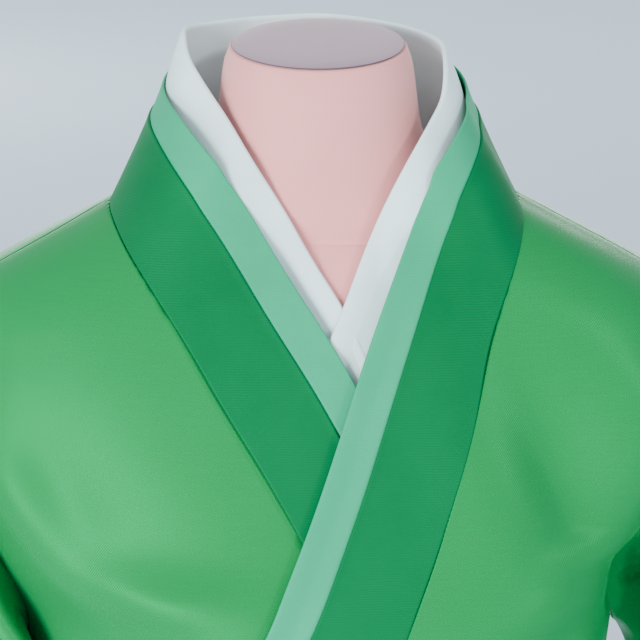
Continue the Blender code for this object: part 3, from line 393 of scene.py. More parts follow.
# The dress form, as rings: height, half width, depth of the front and of the back, squareness.
FORM_RINGS = (
    (0.790, 0.126, 0.094, 0.092, 2.1),
    (0.802, 0.134, 0.101, 0.099, 2.1),
    (0.880, 0.140, 0.108, 0.098, 2.2),
    (0.940, 0.130, 0.101, 0.086, 2.2),
    (1.000, 0.118, 0.096, 0.076, 2.2),
    (1.060, 0.128, 0.108, 0.082, 2.2),
    (1.100, 0.138, 0.118, 0.088, 2.2),
    (1.135, 0.140, 0.118, 0.092, 2.3),
    (1.180, 0.147, 0.111, 0.097, 2.4),
    (1.230, 0.176, 0.099, 0.099, 2.5),
    (1.270, 0.190, 0.087, 0.096, 2.5),
    (1.300, 0.1920, 0.076, 0.092, 2.4),
    (1.315, 0.1825, 0.070, 0.089, 2.3),
    (1.330, 0.1595, 0.063, 0.085, 2.2),
    (1.345, 0.1230, 0.0535, 0.079, 2.1),
    (1.352, 0.1050, 0.0505, 0.075, 2.0),
    (1.360, 0.0905, 0.050, 0.070, 1.9),
    (1.372, 0.0725, 0.048, 0.064, 1.85),
    (1.384, 0.0605, 0.047, 0.059, 1.9),
    (1.398, 0.0540, 0.0475, 0.055, 2.0),
    (1.412, 0.0520, 0.048, 0.0525, 2.0),
    (1.426, 0.0502, 0.0475, 0.050, 2.0),
    (1.436, 0.0480, 0.0460, 0.0475, 2.0),
    (1.439, 0.0462, 0.0445, 0.0455, 2.0),
)
NECK_TILT = 0.20
NECK_TILT_FROM_Z = 1.385
NECK_SEAM_Z = 1.342
FORM_SEAM_ANGLES = (0.0, 56.0, 90.0, 124.0, 180.0, 236.0, 270.0, 304.0)
FORM_SEAM_DEPTH = 0.5 * MM
FORM_SEAM_HALF_WIDTH = 0.9 * MM
CAP_HALF_WIDTH = 0.0456
CAP_HALF_DEPTH = 0.0440
CAP_THICKNESS = 2.6 * MM
CAP_GAP = 0.3 * MM
# The cap's outline in millimetres: rise over its underside, and inset from its widest ring.
CAP_OUTLINE = (
    (0.0, 1.4),
    (0.12, 0.6),
    (0.35, 0.2),
    (0.6, 0.0),
    (0.85, 0.15),
    (1.1, 0.7),
    (1.35, 1.8),
    (1.7, 4.0),
)
CAP_DOME = ((0.85, 0.80), (0.65, 0.93), (0.42, 0.98), (0.18, 1.0))
CAP_DARK_EDGE = 2.3 * MM
CAP_EDGE_SHADE = 0.22

# The flat ends' texture lies this far from that of the sides, in metres.
END_UV_SHIFT = 1.0

BASE_RADIUS = 0.170
BASE_EDGE = 0.010
HUB_RADIUS = 0.024
HUB_TOP_Z = 0.052
POLE_RADIUS = 0.0125
PLATE_RADIUS = 0.050
PLATE_THICKNESS = 0.006

# The knot's wrapped bands and its core, as shares of its size, and its tips, rows and columns.
KNOT_BAND_EDGE = 0.42
KNOT_BAND_SWELL = 0.06
KNOT_GROOVE_WIDTH = 0.09
KNOT_GROOVE_DEPTH = 0.11
KNOT_CORE_SHARE = 0.97
KNOT_TIP = 0.495 * np.pi
KNOT_COLUMNS = 72
KNOT_ROWS = 37

TIE_WIDTH = 0.012
TIE_HALF = 0.55 * MM
TIE_DENT = 0.18 * MM
TIE_STITCHES_IN = 1.6 * MM
TIE_STITCH_WIDTH = 0.4 * MM
TIE_CURL = 0.7 * MM
TIE_ACROSS = np.array([-1, -0.97, -0.92, -0.84, -0.74, -0.6, -0.3, 0, 0.3, 0.6, 0.74, 0.84, 0.92, 0.97, 1])
TIE_STATIONS = 90
# The ties' routes: rows of angle, height and lift in millimetres.
TIE_ROUTES = {
    "tie_end_front": (
        (160.8, 0.921, 5.0),
        (160.4, 0.911, 3.4),
        (160.6, 0.880, 1.5),
        (161.2, 0.820, 1.4),
        (160.6, 0.760, 1.6),
        (161.0, 0.700, 1.8),
    ),
    "tie_end_back": (
        (163.0, 0.921, 4.4),
        (164.8, 0.911, 3.0),
        (167.4, 0.884, 1.4),
        (168.4, 0.830, 1.3),
        (169.4, 0.780, 1.6),
        (169.0, 0.735, 1.9),
    ),
}
KNOT_ANGLE = 161.6
KNOT_Z = 0.925
KNOT_LIFT = 7.9 * MM
KNOT_SIZE = (0.016, 0.013, 0.018)

WORLD_COLOUR = (0.86, 0.91, 0.95, 1.0)
WORLD_STRENGTH = 1.05

# The suns: name, pitch, turn, strength and soft angle.
SUNS = (
    ("key", 86.0, -36.0, 4.8, 24.0),
    ("side", 60.0, 50.0, 1.25, 8.0),
    ("rear", 84.0, 176.0, 1.0, 30.0),
)

# The soft panels, one over the floor far behind the robe and a low one in front of it: name, watts,
# size, place, and the pitch and turn of the way it shines.
PANELS = (
    ("floor_wash", 200.0, 1.5, (-3.5, 12.5, 3.5), 0.0, 0.0),
    ("low_fill", 32.0, 0.9, (-0.5, -1.7, 0.25), 120.0, -16.0),
)

# The camera at the photo's angle.
CAMERA_PLACE = (0.001, -1.9696, 1.6403)
CAMERA_TURN = (80.0, 0.0, 0.0)
CAMERA_LENS = 212.26
CAMERA_SENSOR = 36.0


def smooth_columns(table, at):
    """Reads each column of a table at the places in its first column, with no overshoot between rows."""
    rows = np.asarray(table, float)
    places = rows[:, 0]
    values = rows[:, 1:]
    step = np.diff(places)
    slope = np.diff(values, axis=0) / step[:, None]
    tangent = np.empty_like(values)
    tangent[0] = slope[0]
    tangent[-1] = slope[-1]
    for i in range(1, len(rows) - 1):
        before, after = slope[i - 1], slope[i]
        w_before = 2 * step[i] + step[i - 1]
        w_after = step[i] + 2 * step[i - 1]
        same_way = before * after > 0
        safe_before = np.where(same_way, before, 1.0)
        safe_after = np.where(same_way, after, 1.0)
        mean = (w_before + w_after) / (w_before / safe_before + w_after / safe_after)
        tangent[i] = np.where(same_way, mean, 0.0)
    at = np.atleast_1d(np.asarray(at, float))
    i = np.clip(np.searchsorted(places, at) - 1, 0, len(rows) - 2)
    t = np.clip((at - places[i]) / step[i], 0, 1)[:, None]
    length = step[i][:, None]
    return (
        (1 + 2 * t) * (1 - t) ** 2 * values[i]
        + t * (1 - t) ** 2 * length * tangent[i]
        + t * t * (3 - 2 * t) * values[i + 1]
        + t * t * (t - 1) * length * tangent[i + 1]
    )


def soften(curves, reach):
    """Evens out curves along their length, over a reach in steps, with their ends kept."""
    pad = int(3 * reach) + 1
    before = 2 * curves[:1] - curves[pad:0:-1]
    after = 2 * curves[-1:] - curves[-2:-pad - 2:-1]
    long = np.concatenate([before, curves, after])
    share = np.exp(-((np.arange(-pad, pad + 1) / reach) ** 2) / 2)
    share = share / share.sum()
    return np.stack([np.convolve(column, share, "valid") for column in long.T], axis=1)


RING_HEIGHTS = np.arange(0.080, 1.420, 0.001)
RING_COLUMNS = soften(smooth_columns(ROBE_RINGS, RING_HEIGHTS), RINGS_SOFTNESS)


def robe_rings(height):
    """The robe's rings at a height, evened out so that the cloth has no breaks."""
    return np.stack([np.interp(height, RING_HEIGHTS, column) for column in RING_COLUMNS.T], axis=-1)


def smoothstep(value, start, end):
    t = np.clip((value - start) / (end - start), 0, 1)
    return t * t * (3 - 2 * t)


def bell(away, width):
    """1 in the middle of a soft ridge, and near 0 beyond twice its half width."""
    return np.exp(-((away / width) ** 2))


def rounded(distance, reach):
    """The share of the full thickness at a distance from a round edge."""
    return np.sqrt(np.maximum(1 - (1 - np.clip(distance / reach, 0, 1)) ** 2, 0.01))


def angle_between(angle, centre):
    """How far an angle is past another, from -180 to 180."""
    return (angle - centre + 180.0) % 360.0 - 180.0


def unit(vectors):
    return vectors / np.maximum(np.linalg.norm(vectors, axis=-1, keepdims=True), 1e-12)


def oval(angle, half_width, front, back, squareness):
    """A point of a ring: x to the wearer's left, y negative in front."""
    c = np.cos(np.radians(angle))
    s = np.sin(np.radians(angle))
    x = half_width * np.sign(c) * np.abs(c) ** (2 / squareness)
    depth = np.where(s > 0, front, back)
    y = -depth * np.sign(s) * np.abs(s) ** (2 / squareness)
    return x, y


def angle_of(x, y, height):
    """The angle round the body at which the robe's surface lies behind a point."""
    half_width, front, back, squareness = robe_rings(height).T
    depth = np.where(y < 0, front, back)
    c = np.sign(x) * np.abs(x / half_width) ** (squareness / 2)
    s = np.sign(-y) * np.abs(y / depth) ** (squareness / 2)
    return np.degrees(np.arctan2(s, c))


def angle_behind(x, y, height):
    """The angle at which the robe's surface lies straight behind a point of the front.

    Near the sides it is angle_of, as nothing lies straight behind there.
    """
    half_width, _, _, squareness = robe_rings(height).T
    part = np.minimum(np.abs(x / half_width), 1.0)
    straight = np.degrees(np.arccos(np.sign(x) * part ** (squareness / 2)))
    round_it = angle_of(x, y, height)
    share = np.where(y < 0, smoothstep(part, 0.60, 0.90), 1.0)
    return straight + (round_it - straight) * share


def fold_depth(angle, height):
    """How far the folds push the robe out of its smooth rings."""
    depth = np.zeros(np.broadcast(angle, height).shape)
    for centre, width, start, full, push in ROBE_FOLDS:
        ridge = bell(angle_between(angle, centre), width)
        depth = depth + push * ridge * smoothstep(-height, -start, -full)
    return depth


def crease_depth(angle, x, height):
    """How far the creases of the body push it out, each on its own side."""
    depth = np.zeros(height.shape)
    facing = np.sin(np.radians(angle))
    for side, centre_x, centre_z, half_length, half_width, slant, push in BODY_CREASES:
        c, s = math.cos(math.radians(slant)), math.sin(math.radians(slant))
        along = (x - centre_x) * c + (height - centre_z) * s
        across = (height - centre_z) * c - (x - centre_x) * s
        shape = np.exp(-((along / half_length) ** 2) - (across / half_width) ** 2)
        depth = depth + push * shape * smoothstep(side * facing, 0.0, CREASES_FADE)
    return depth


def robe_surface(angle, height):
    """The robe's surface with its folds, as an array of points."""
    angle, height = np.broadcast_arrays(np.asarray(angle, float), np.asarray(height, float))
    columns = robe_rings(height.ravel())
    half_width, front, back, squareness = (c.reshape(height.shape) for c in columns.T)
    x, y = oval(angle, half_width, front, back, squareness)
    push = fold_depth(angle, height) + crease_depth(angle, x, height)
    x, y = oval(angle, half_width + push, front + push, back + push, squareness)
    return np.stack([x, y, height], axis=-1)


def robe_frame(angle, height):
    """Points of the robe's surface and the way out of it there."""
    across = robe_surface(angle + FRAME_TURN, height) - robe_surface(angle - FRAME_TURN, height)
    along = robe_surface(angle, height + FRAME_RISE) - robe_surface(angle, height - FRAME_RISE)
    normal = unit(np.cross(along, across))
    surface = robe_surface(angle, height)
    flip = np.sign(np.sum(normal * surface * (1, 1, 0), axis=-1, keepdims=True))
    return surface, normal * flip


def robe_point(angle, height, lift):
    """A point at a distance in front of the robe's surface, square to it."""
    surface, normal = robe_frame(angle, height)
    return surface + normal * np.asarray(lift, float)[..., None]


def lap_lift(angle, height):
    """How far the left front has risen over the right front, which grows where the skirt hangs free."""
    hanging = smoothstep(-height, -CHEST_LAP_ABOVE_Z, -SKIRT_LAP_BELOW_Z)
    full = CHEST_LAP_LIFT + (SKIRT_LAP_LIFT - CHEST_LAP_LIFT) * hanging
    return full * smoothstep(angle, LAP_STARTS, LAP_FULL)


def armhole_angle(height):
    """How far round from the side the armhole's edge is at a height, 0 above and below it."""
    middle = (UNDERARM_Z + SHOULDER_TIP_Z) / 2
    reach = (SHOULDER_TIP_Z - UNDERARM_Z) / 2
    rise = np.clip((height - middle) / reach, -1, 1)
    return ARMHOLE_REACH * (1 - rise**2) ** ARMHOLE_ROUNDNESS


def shoulder_angle(height, forward):
    """The shoulder seam lies a little in front of the ridge, and runs back to it at both ends."""
    rise = np.clip((height - SHOULDER_TIP_Z) / (NECK_POINT_Z - SHOULDER_TIP_Z), 0, 1)
    return forward * 4 * rise * (1 - rise)


def station_curves(table, steps, softness=COLLAR_SOFTNESS):
    """Reads a collar's stations at even steps of its length."""
    rows = np.asarray(table, float)
    middle = (rows[:, 0:3] + rows[:, 3:6]) / 2
    length = np.concatenate([[0], np.cumsum(np.linalg.norm(np.diff(middle, axis=0), axis=1))])
    keyed = np.column_stack([length, rows])
    curves = smooth_columns(keyed, np.linspace(0, length[-1], steps + 1))
    return soften(curves, softness / length[-1] * steps)


def collar_seam(over):
    """The seam of the collar with a front, as heights and the angles there, lowest first."""
    outer = station_curves(ROBE_COLLAR, FRONT_SEAM_STATIONS)[:, 0:3]
    middle = len(outer) // 2
    side = outer[middle:] if over else outer[:middle]
    side = side[side[:, 1] < 0.001]
    order = np.argsort(side[:, 2])
    side = side[order]
    return side[:, 2], angle_of(side[:, 0], side[:, 1], side[:, 2])


def in_scene(name, data):
    """A new object in the scene."""
    obj = bpy.data.objects.new(name, data)
    bpy.context.scene.collection.objects.link(obj)
    return obj


def finished(name, mesh):
    """The mesh as a smooth object whose faces all look outward."""
    work = bmesh.new()
    work.from_mesh(mesh)
    bmesh.ops.recalc_face_normals(work, faces=work.faces)
    work.to_mesh(mesh)
    work.free()
    mesh.shade_smooth()
    return in_scene(name, mesh)


def shell(name, middle, out, half, material, uv, closed=False, inner=None):
    """A thin cloth shell over a grid: middle points, the way out, and half the thickness at each.

    uv has one more column than the grid where it is closed. inner is the material of the inside.
    """
    rows, columns = middle.shape[:2]
    half = np.broadcast_to(half, (rows, columns))[..., None]
    verts = np.concatenate([(middle - out * half).reshape(-1, 3), (middle + out * half).reshape(-1, 3)])
    second = rows * columns
    spans = columns if closed else columns - 1
    r, c = np.meshgrid(np.arange(rows - 1), np.arange(spans), indexing="ij")
    r, c = r.ravel(), c.ravel()
    uv_columns = uv.shape[1]

    def corners(row, column):
        return row * columns + column % columns, row * uv_columns + column

    loop = [corners(r, c), corners(r + 1, c), corners(r + 1, c + 1), corners(r, c + 1)]
    at = np.stack([p[0] for p in loop], axis=1)
    uv_at = np.stack([p[1] for p in loop], axis=1)
    quad = verts[second + at]
    faced = np.cross(quad[:, 1] - quad[:, 0], quad[:, 3] - quad[:, 0])
    outward = np.sum(faced * out.reshape(-1, 3)[at[:, 0]], axis=1).sum() > 0
    outer_order = slice(None) if outward else slice(None, None, -1)
    inner_order = slice(None, None, -1) if outward else slice(None)
    rims = [((row, c0), (row, c0 + 1)) for c0 in range(spans) for row in (0, rows - 1)]
    if not closed:
        rims += [((r0, column), (r0 + 1, column)) for r0 in range(rows - 1) for column in (0, columns - 1)]
    rim_faces, rim_uv = [], []
    for start, end in rims:
        a, b = corners(*start), corners(*end)
        rim_faces.append([a[0], b[0], second + b[0], second + a[0]])
        rim_uv.append([a[1], b[1], b[1], a[1]])
    faces = np.concatenate([second + at[:, outer_order], at[:, inner_order], np.array(rim_faces)])
    face_uv = np.concatenate([uv_at[:, outer_order], uv_at[:, inner_order], np.array(rim_uv)])
    mesh = bpy.data.meshes.new(name)
    mesh.from_pydata(verts.tolist(), [], faces.tolist())
    layer = mesh.uv_layers.new(name="UVMap")
    layer.data.foreach_set("uv", uv.reshape(-1, 2)[face_uv.ravel()].astype(np.float32).ravel())
    mesh.materials.append(material)
    if inner is not None:
        mesh.materials.append(inner)
        index = np.zeros(len(faces), np.int32)
        index[len(at):2 * len(at)] = 1
        mesh.polygons.foreach_set("material_index", index)
    return finished(name, mesh)


def round_edge(distance, half):
    """Half the thickness at a distance from a free edge, so that the edge is round."""
    return half * rounded(distance, half)


def lengths_along(points, axis):
    """The distance run along a grid of points, from its first row or column."""
    step = np.linalg.norm(np.diff(points, axis=axis), axis=-1)
    run = np.cumsum(step, axis=axis)
    start = np.zeros_like(np.take(run, [0], axis=axis))
    return np.concatenate([start, run], axis=axis)


def even_columns(starts, ends, heights, count, last_steps=EDGE_STEPS):
    """Angles across each row at even distances, with close columns beside both edges."""
    share = np.linspace(0, 1, ROW_SAMPLES)
    angles = starts[:, None] + (ends - starts)[:, None] * share
    length = lengths_along(robe_surface(angles, heights[:, None]), 1)
    placed = np.empty((len(heights), len(EDGE_STEPS) + len(last_steps) + count))
    for row, run in enumerate(length):
        total = run[-1]
        share = min(1.0, total / (4 * last_steps[-1]))
        first, final = EDGE_STEPS * share, last_steps * share
        inner = np.linspace(first[-1], total - final[-1], count + 2)[1:-1]
        at = np.concatenate([first, inner, total - final[::-1]])
        placed[row] = np.interp(at, run, angles[row])
    return placed


def edge_distances(points):
    """The true distance of each point of a grid from the first and from the last column's line."""
    run = lengths_along(points, 1)
    total = run[:, -1:]

    def slant(column, beside):
        along = unit(np.gradient(points[:, column], axis=0))
        across = unit(points[:, beside] - points[:, column])
        return np.linalg.norm(np.cross(along, across), axis=-1, keepdims=True)

    return run * slant(0, 6), (total - run) * slant(-1, -7)


def panel_heights(top):
    """The rows of a panel: close at the hem, even down the skirt, and closer round the armhole."""
    hem = HEM_Z + HEM_ROWS
    turned_hem = HEM_Z + HEM_DEPTH + STITCH_ROWS
    skirt = np.arange(HEM_Z + SKIRT_STARTS, WAIST_Z, SKIRT_STEP)
    waist = np.arange(WAIST_Z, UNDERARM_Z - 0.001, WAIST_STEP)
    turn = np.linspace(0, math.pi, ARMHOLE_ROWS)
    middle = (UNDERARM_Z + SHOULDER_TIP_Z) / 2
    armhole = middle - (SHOULDER_TIP_Z - UNDERARM_Z) / 2 * np.cos(turn)
    shoulder = np.arange(SHOULDER_TIP_Z + SHOULDER_STEP, top, SHOULDER_STEP)
    rows = np.unique(np.round(np.concatenate([hem, turned_hem, skirt, waist, armhole, shoulder, [top]]), 6))
    keep = np.concatenate([[True], np.diff(rows) > 0.00009])
    return rows[keep]


def hem_profile(distance):
    """The lift of a turned hem: a little proud, with the dent of its stitches along the top."""
    proud = HEM_PROUD * (1 - smoothstep(distance, HEM_DEPTH - 1 * MM, HEM_DEPTH + 1 * MM))
    return proud - HEM_DENT * bell(distance - HEM_DEPTH, STITCH_WIDTH)


def seam_dip(distance):
    return -SEAM_DIP * (1 - smoothstep(distance, 0, SEAM_ROLL)) ** 2


def panel_uv(angles, heights, centre):
    """Distances round the body from an angle, to the viewer's right, and up it, in metres."""
    round_it = centre + np.arange(-150.0, 151.0, 1.5)
    rows = heights[:, :1]
    run = lengths_along(robe_surface(round_it, rows), 1)
    across = np.stack([np.interp(a, round_it, r) for a, r in zip(angles, run)])
    middle = run[:, len(round_it) // 2, None]
    up = lengths_along(robe_surface(centre + 45.0, rows)[:, 0][:, None], 0)
    return np.stack([middle - across, np.broadcast_to(up, across.shape)], axis=-1)


def has_collar(heights, lowest):
    """1 where the collar runs along a front's edge, and 0 below it."""
    start, full = COLLAR_STARTS_OVER
    return smoothstep(heights, lowest + start, lowest + full)


def tucked_ends(heights, seam_z, seam_angle, way, lowest):
    """Where a front's edge runs under the collar: past the seam, sideways and up. way is 1 or -1."""
    plain = np.interp(heights, seam_z, seam_angle)
    above = np.interp(heights - TUCK_UP, seam_z, seam_angle)
    half_width = robe_rings(heights)[:, 0]
    tucked = above + way * np.degrees(TUCK_SIDEWAYS / half_width)
    return plain + (tucked - plain) * has_collar(heights, lowest)


def front(name, material, over):
    """The left front (over) or the right front as a shell, from its side seam to under the collar."""
    seam_z, seam_angle = collar_seam(over)
    heights = panel_heights(seam_z[-1] + TUCK_UP - TUCK_TOP_GAP)
    sides = armhole_angle(heights)
    corner_z = ROBE_COLLAR[-1][2] if over else ROBE_COLLAR[0][2]
    way = 1 if over else -1
    ends = tucked_ends(heights, seam_z, seam_angle, way, corner_z)
    if over:
        starts = sides + shoulder_angle(heights, LEFT_SEAM_FORWARD)
        ends = np.maximum(ends, starts + LEAST_WIDTH)
    else:
        starts = 180.0 - sides - shoulder_angle(heights, RIGHT_SEAM_FORWARD)
        ends = np.minimum(ends, starts - LEAST_WIDTH)
    angles = even_columns(starts, ends, heights, LEFT_COLUMNS if over else RIGHT_COLUMNS, TUCK_STEPS)
    grid = np.broadcast_to(heights[:, None], angles.shape)
    surface, out = robe_frame(angles, grid)
    from_side, from_edge = edge_distances(surface)
    seam_points = robe_surface(np.interp(heights, seam_z, seam_angle), heights)
    past = way * (angles - np.interp(heights, seam_z, seam_angle)[:, None]) * np.pi / 180
    past = past * np.linalg.norm(seam_points[:, :2], axis=-1)[:, None]
    slope = np.gradient(seam_points, axis=0)
    steep = np.linalg.norm(slope[:, :2], axis=-1) / np.maximum(slope[:, 2], 1e-5)
    past = past / np.sqrt(1 + steep**2)[:, None]
    collared = has_collar(heights, corner_z)[:, None]
    tuck = -TUCK_DROP * smoothstep(past, -TUCK_ROLL, 0.0) * collared
    lift = CLOTH_MIDDLE + seam_dip(from_side) + tuck + hem_profile(grid - HEM_Z)
    lift = lift + hem_profile(from_edge) * (1 - collared)
    if over:
        lift = lift + lap_lift(angles, grid)
    free = np.minimum(round_edge(grid - HEM_Z, CLOTH_HALF), round_edge(from_edge, CLOTH_HALF))
    uv = panel_uv(angles, grid, 90.0)
    return shell(name, surface + out * lift[..., None], out, free, material, uv)


def back(name, material):
    """The back as a shell, from side seam to side seam and up to the neck."""
    heights = panel_heights(PANEL_TOP_Z)
    sides = armhole_angle(heights)
    starts = shoulder_angle(heights, LEFT_SEAM_FORWARD) - sides
    ends = sides - shoulder_angle(heights, RIGHT_SEAM_FORWARD) - 180.0
    angles = even_columns(starts, ends, heights, BACK_COLUMNS)
    grid = np.repeat(heights[:, None], angles.shape[1], axis=1)
    outer = station_curves(ROBE_COLLAR, BACK_SEAM_STATIONS)[:, 0:3]
    behind = outer[outer[:, 1] > -0.02]
    around = angle_of(behind[:, 0], behind[:, 1], behind[:, 2])
    around = np.where(around > 90, around - 360, around)
    order = np.argsort(around)
    seam_z = np.interp(angles[-1], around[order], behind[order, 2])
    neck_top = seam_z + TUCK_UP * BACK_TUCK_SHARE
    upper = PANEL_TOP_Z + (neck_top - PANEL_TOP_Z)[None, :] * NECK_ROWS[:, None]
    top_angles = np.repeat(angles[-1:], len(NECK_ROWS), axis=0)
    angles = np.vstack([angles, top_angles])
    grid = np.vstack([grid, upper])
    surface, out = robe_frame(angles, grid)
    from_left, from_right = edge_distances(surface)
    seam_z = np.interp(angles, around[order], behind[order, 2])
    tuck = -TUCK_DROP * smoothstep(grid - seam_z, -TUCK_ROLL, 0.0)
    lift = CLOTH_MIDDLE + seam_dip(from_left) + seam_dip(from_right) + tuck + hem_profile(grid - HEM_Z)
    free = round_edge(grid - HEM_Z, CLOTH_HALF)
    uv = panel_uv(angles, grid, -90.0)
    return shell(name, surface + out * lift[..., None], out, free, material, uv)


def sleeve(name, side, material):
    """A sleeve as a tube from just inside the armhole to the cuff. side is 1 on the wearer's left."""
    mirror = np.array([side, 1, 1])
    last = len(SLEEVE_SECTIONS) - 1
    place = np.concatenate([
        np.linspace(0, 1.0, SLEEVE_CAP_ROWS)[:-1] ** SLEEVE_CAP_CLOSENESS,
        np.linspace(1.0, last - CUFF_STARTS, SLEEVE_ROWS)[:-1],
        last - CUFF_STEPS,
    ])
    columns = SLEEVE_COLUMNS
    keyed = np.column_stack([np.arange(len(SLEEVE_SECTIONS)), np.asarray(SLEEVE_SECTIONS)])
    top_x, top_z, low_x, low_z, depth = smooth_columns(keyed, place).T[:, :, None]
    turn = np.linspace(0, 360, columns + 1)[:-1]
    c, s = np.cos(np.radians(turn)), np.sin(np.radians(turn))

    ring_z = (UNDERARM_Z + SHOULDER_TIP_Z) / 2 + (SHOULDER_TIP_Z - UNDERARM_Z) / 2 * c
    ring_side = ARMHOLE_REACH * np.sign(s) * np.abs(s) ** (2 * ARMHOLE_ROUNDNESS)
    ring_side = ring_side if side > 0 else 180.0 - ring_side
    lift = SLEEVE_LIFT - SLEEVE_SEAM_DIP + UNDERARM_STAND * smoothstep(-c, STAND_STARTS, 1.0)
    armhole, armhole_out = robe_frame(ring_side, ring_z)
    armhole = (armhole + armhole_out * lift[:, None]) * mirror
    armhole_out = armhole_out * mirror

    push = np.zeros((len(place), columns))
    for centre, width, start, full, depth_of_fold in (ARMPIT_FOLDS[name], *SLEEVE_FOLDS):
        ridge = bell(angle_between(turn, centre), width)
        push += depth_of_fold * ridge * smoothstep(place, start, full)[:, None]
    creases = ARMPIT_CREASES[name] + SLEEVE_CREASES
    for section, centre, half_length, half_width, slant, depth_of_crease in creases:
        away = angle_between(turn, centre)
        across = (place[:, None] - section - slant * away) / half_width
        push += depth_of_crease * np.exp(-((away / half_length) ** 2) - across**2)
    half = np.stack([(top_x - low_x) / 2 * c, -depth * s, (top_z - low_z) / 2 * c], axis=-1)
    middle = np.stack([(top_x + low_x) / 2, 0 * top_x, (top_z + low_z) / 2], axis=-1)
    surface = middle + half + unit(half) * push[..., None]
    near_section = bell(place - DRAWN_AT[0], DRAWN_OVER[0])[:, None]
    near_armpit = near_section * bell(turn - DRAWN_AT[1], DRAWN_OVER[1])
    inward, forward = ARMPIT_DRAWN[name]
    surface = surface - near_armpit[..., None] * (inward, forward, 0.0)
    fade = 1 - smoothstep(place, 0, ARMHOLE_FADE)[:, None, None]
    surface = surface + (armhole - surface[0]) * fade

    along = np.gradient(surface, axis=0)
    around = np.roll(surface, -1, axis=1) - np.roll(surface, 1, axis=1)
    normal = unit(np.cross(along, around))
    centre = surface.mean(axis=1, keepdims=True)
    normal = normal * np.sign(np.sum(normal * (surface - centre), axis=-1, keepdims=True))
    run = lengths_along(surface, 0)
    near_armhole = (1 - smoothstep(run, 0.0, FOLLOWS_ROBE_OVER))[..., None]
    near_armhole = near_armhole * smoothstep(c, *FOLLOWS_ROBE_ABOVE)[:, None]
    normal = unit(normal + (armhole_out - normal) * near_armhole)
    from_cuff = run[-1:] - run
    puff = SLEEVE_SEAM_DIP * smoothstep(run, 0, SEAM_ROLL) + hem_profile(from_cuff)
    surface = surface + normal * puff[..., None]

    tuck_side = ring_side + np.sign(s) * SLEEVE_TUCK * side
    tucked, tucked_out = robe_frame(tuck_side, ring_z)
    tucked = (tucked + tucked_out * (lift - SLEEVE_TUCK_DROP)[:, None]) * mirror
    surface = np.concatenate([tucked[None], surface])
    normal = np.concatenate([(tucked_out * mirror)[None], normal])
    free = np.concatenate([np.full((1, columns), CLOTH_HALF), round_edge(from_cuff, CLOTH_HALF)])
    wrapped = np.concatenate([surface, surface[:, :1]], axis=1)
    around_at = lengths_along(wrapped, 1)
    up = -lengths_along(surface, 0)[:, :1]
    uv = np.stack([around_at * -side, np.broadcast_to(up, around_at.shape)], axis=-1)
    return shell(name, surface * mirror, normal * mirror, free, material, uv, closed=True)


def left_half(count):
    """1 for the stations from the back of the neck to the wearer's left end, and 0 for the others."""
    return np.arange(count) > count // 2


def band_points(stations, across, lying_lift, standing_lift, lap):
    """Points across a collar band: a share of its width from the outer edge, lifted by a distance."""
    outer, inner, hug = stations[:, 0:3], stations[:, 3:6], stations[:, 6, None]
    flat = outer + (inner - outer) * across[..., None]
    angle = angle_behind(*flat.reshape(-1, 3).T).reshape(across.shape)
    lapped = lap(angle, flat[..., 2])
    normal = unit(np.cross(np.broadcast_to(inner - outer, flat.shape), np.gradient(flat, axis=1)))
    outward = np.sign(np.sum(normal * flat * (1, 1, 0), axis=-1, keepdims=True))
    standing = flat + normal * outward * (standing_lift + lapped)[..., None]
    lying = robe_point(angle, flat[..., 2], lying_lift + lapped)
    return standing + (lying - standing) * hug


def robe_lap(angle, height):
    """The collar's left end laps as the left front does."""
    return lap_lift(angle, height) * left_half(angle.shape[-1])


def white_lap(angle, height):
    """The white collar's right end dips under its left end."""
    dip = smoothstep(180.0 - angle, LAP_STARTS, LAP_FULL) * (angle > 0)
    return -WHITE_LAP_DROP * dip * ~left_half(angle.shape[-1])


def on_robe(stations, lift=0.0):
    """The same stations with their edges put on the robe's surface, or a distance out of it.

    The inner edge is put there as far as the band follows the body.
    """
    seated = stations.copy()
    lifts = np.full(len(stations), lift)
    seated[:, 0:3] = robe_point(angle_of(*stations[:, 0:3].T), stations[:, 2], lifts)
    inner = robe_point(angle_behind(*stations[:, 3:6].T), stations[:, 5], lifts)
    seated[:, 3:6] += (inner - stations[:, 3:6]) * stations[:, 6, None]
    return seated


def width_steps(width, count):
    """Distances across a band for each station, close beside its edges: an array of rows by stations."""
    steps = EDGE_STEPS[:7]
    final = width - steps[-1]
    inner = [steps[-1] + (final - steps[-1]) * t for t in np.linspace(0, 1, count + 2)[1:-1]]
    return np.stack([0 * width + s for s in steps] + inner + [width - s for s in steps[::-1]])


def band(name, stations, start, end, lifts, profile, lap, material, count, inner=None):
    """A collar band between two shares of the collar's width.

    lifts are those of its two faces, lying and standing. profile gives the lift of the middle and the
    share of the thickness, from the distances to the band's own two edges and how far it lies.
    """
    full_width = np.linalg.norm(stations[:, 3:6] - stations[:, 0:3], axis=1)
    own = (end - start) * full_width
    distance = width_steps(own, count)
    across = start + distance / full_width
    rise, share = profile(distance, own - distance, stations[:, 6])
    ends = lengths_along((stations[:, 0:3] + stations[:, 3:6])[None] / 2, 1)[0]
    from_end = np.minimum(ends, ends[-1] - ends)
    lying, standing = lifts
    below = band_points(stations, across, lying[0] + rise, standing[0] + rise, lap)
    above = band_points(stations, across, lying[1] + rise, standing[1] + rise, lap)
    middle = (below + above) / 2
    out = unit(above - below)
    half = np.linalg.norm(above - below, axis=-1) / 2 * share
    half = np.minimum(half, round_edge(from_end, float(half.max()))[None, :])
    uv = np.stack([np.broadcast_to(ends, across.shape), (across - 1) * full_width], axis=-1)
    return shell(name, middle, out, half, material, uv, inner=inner)


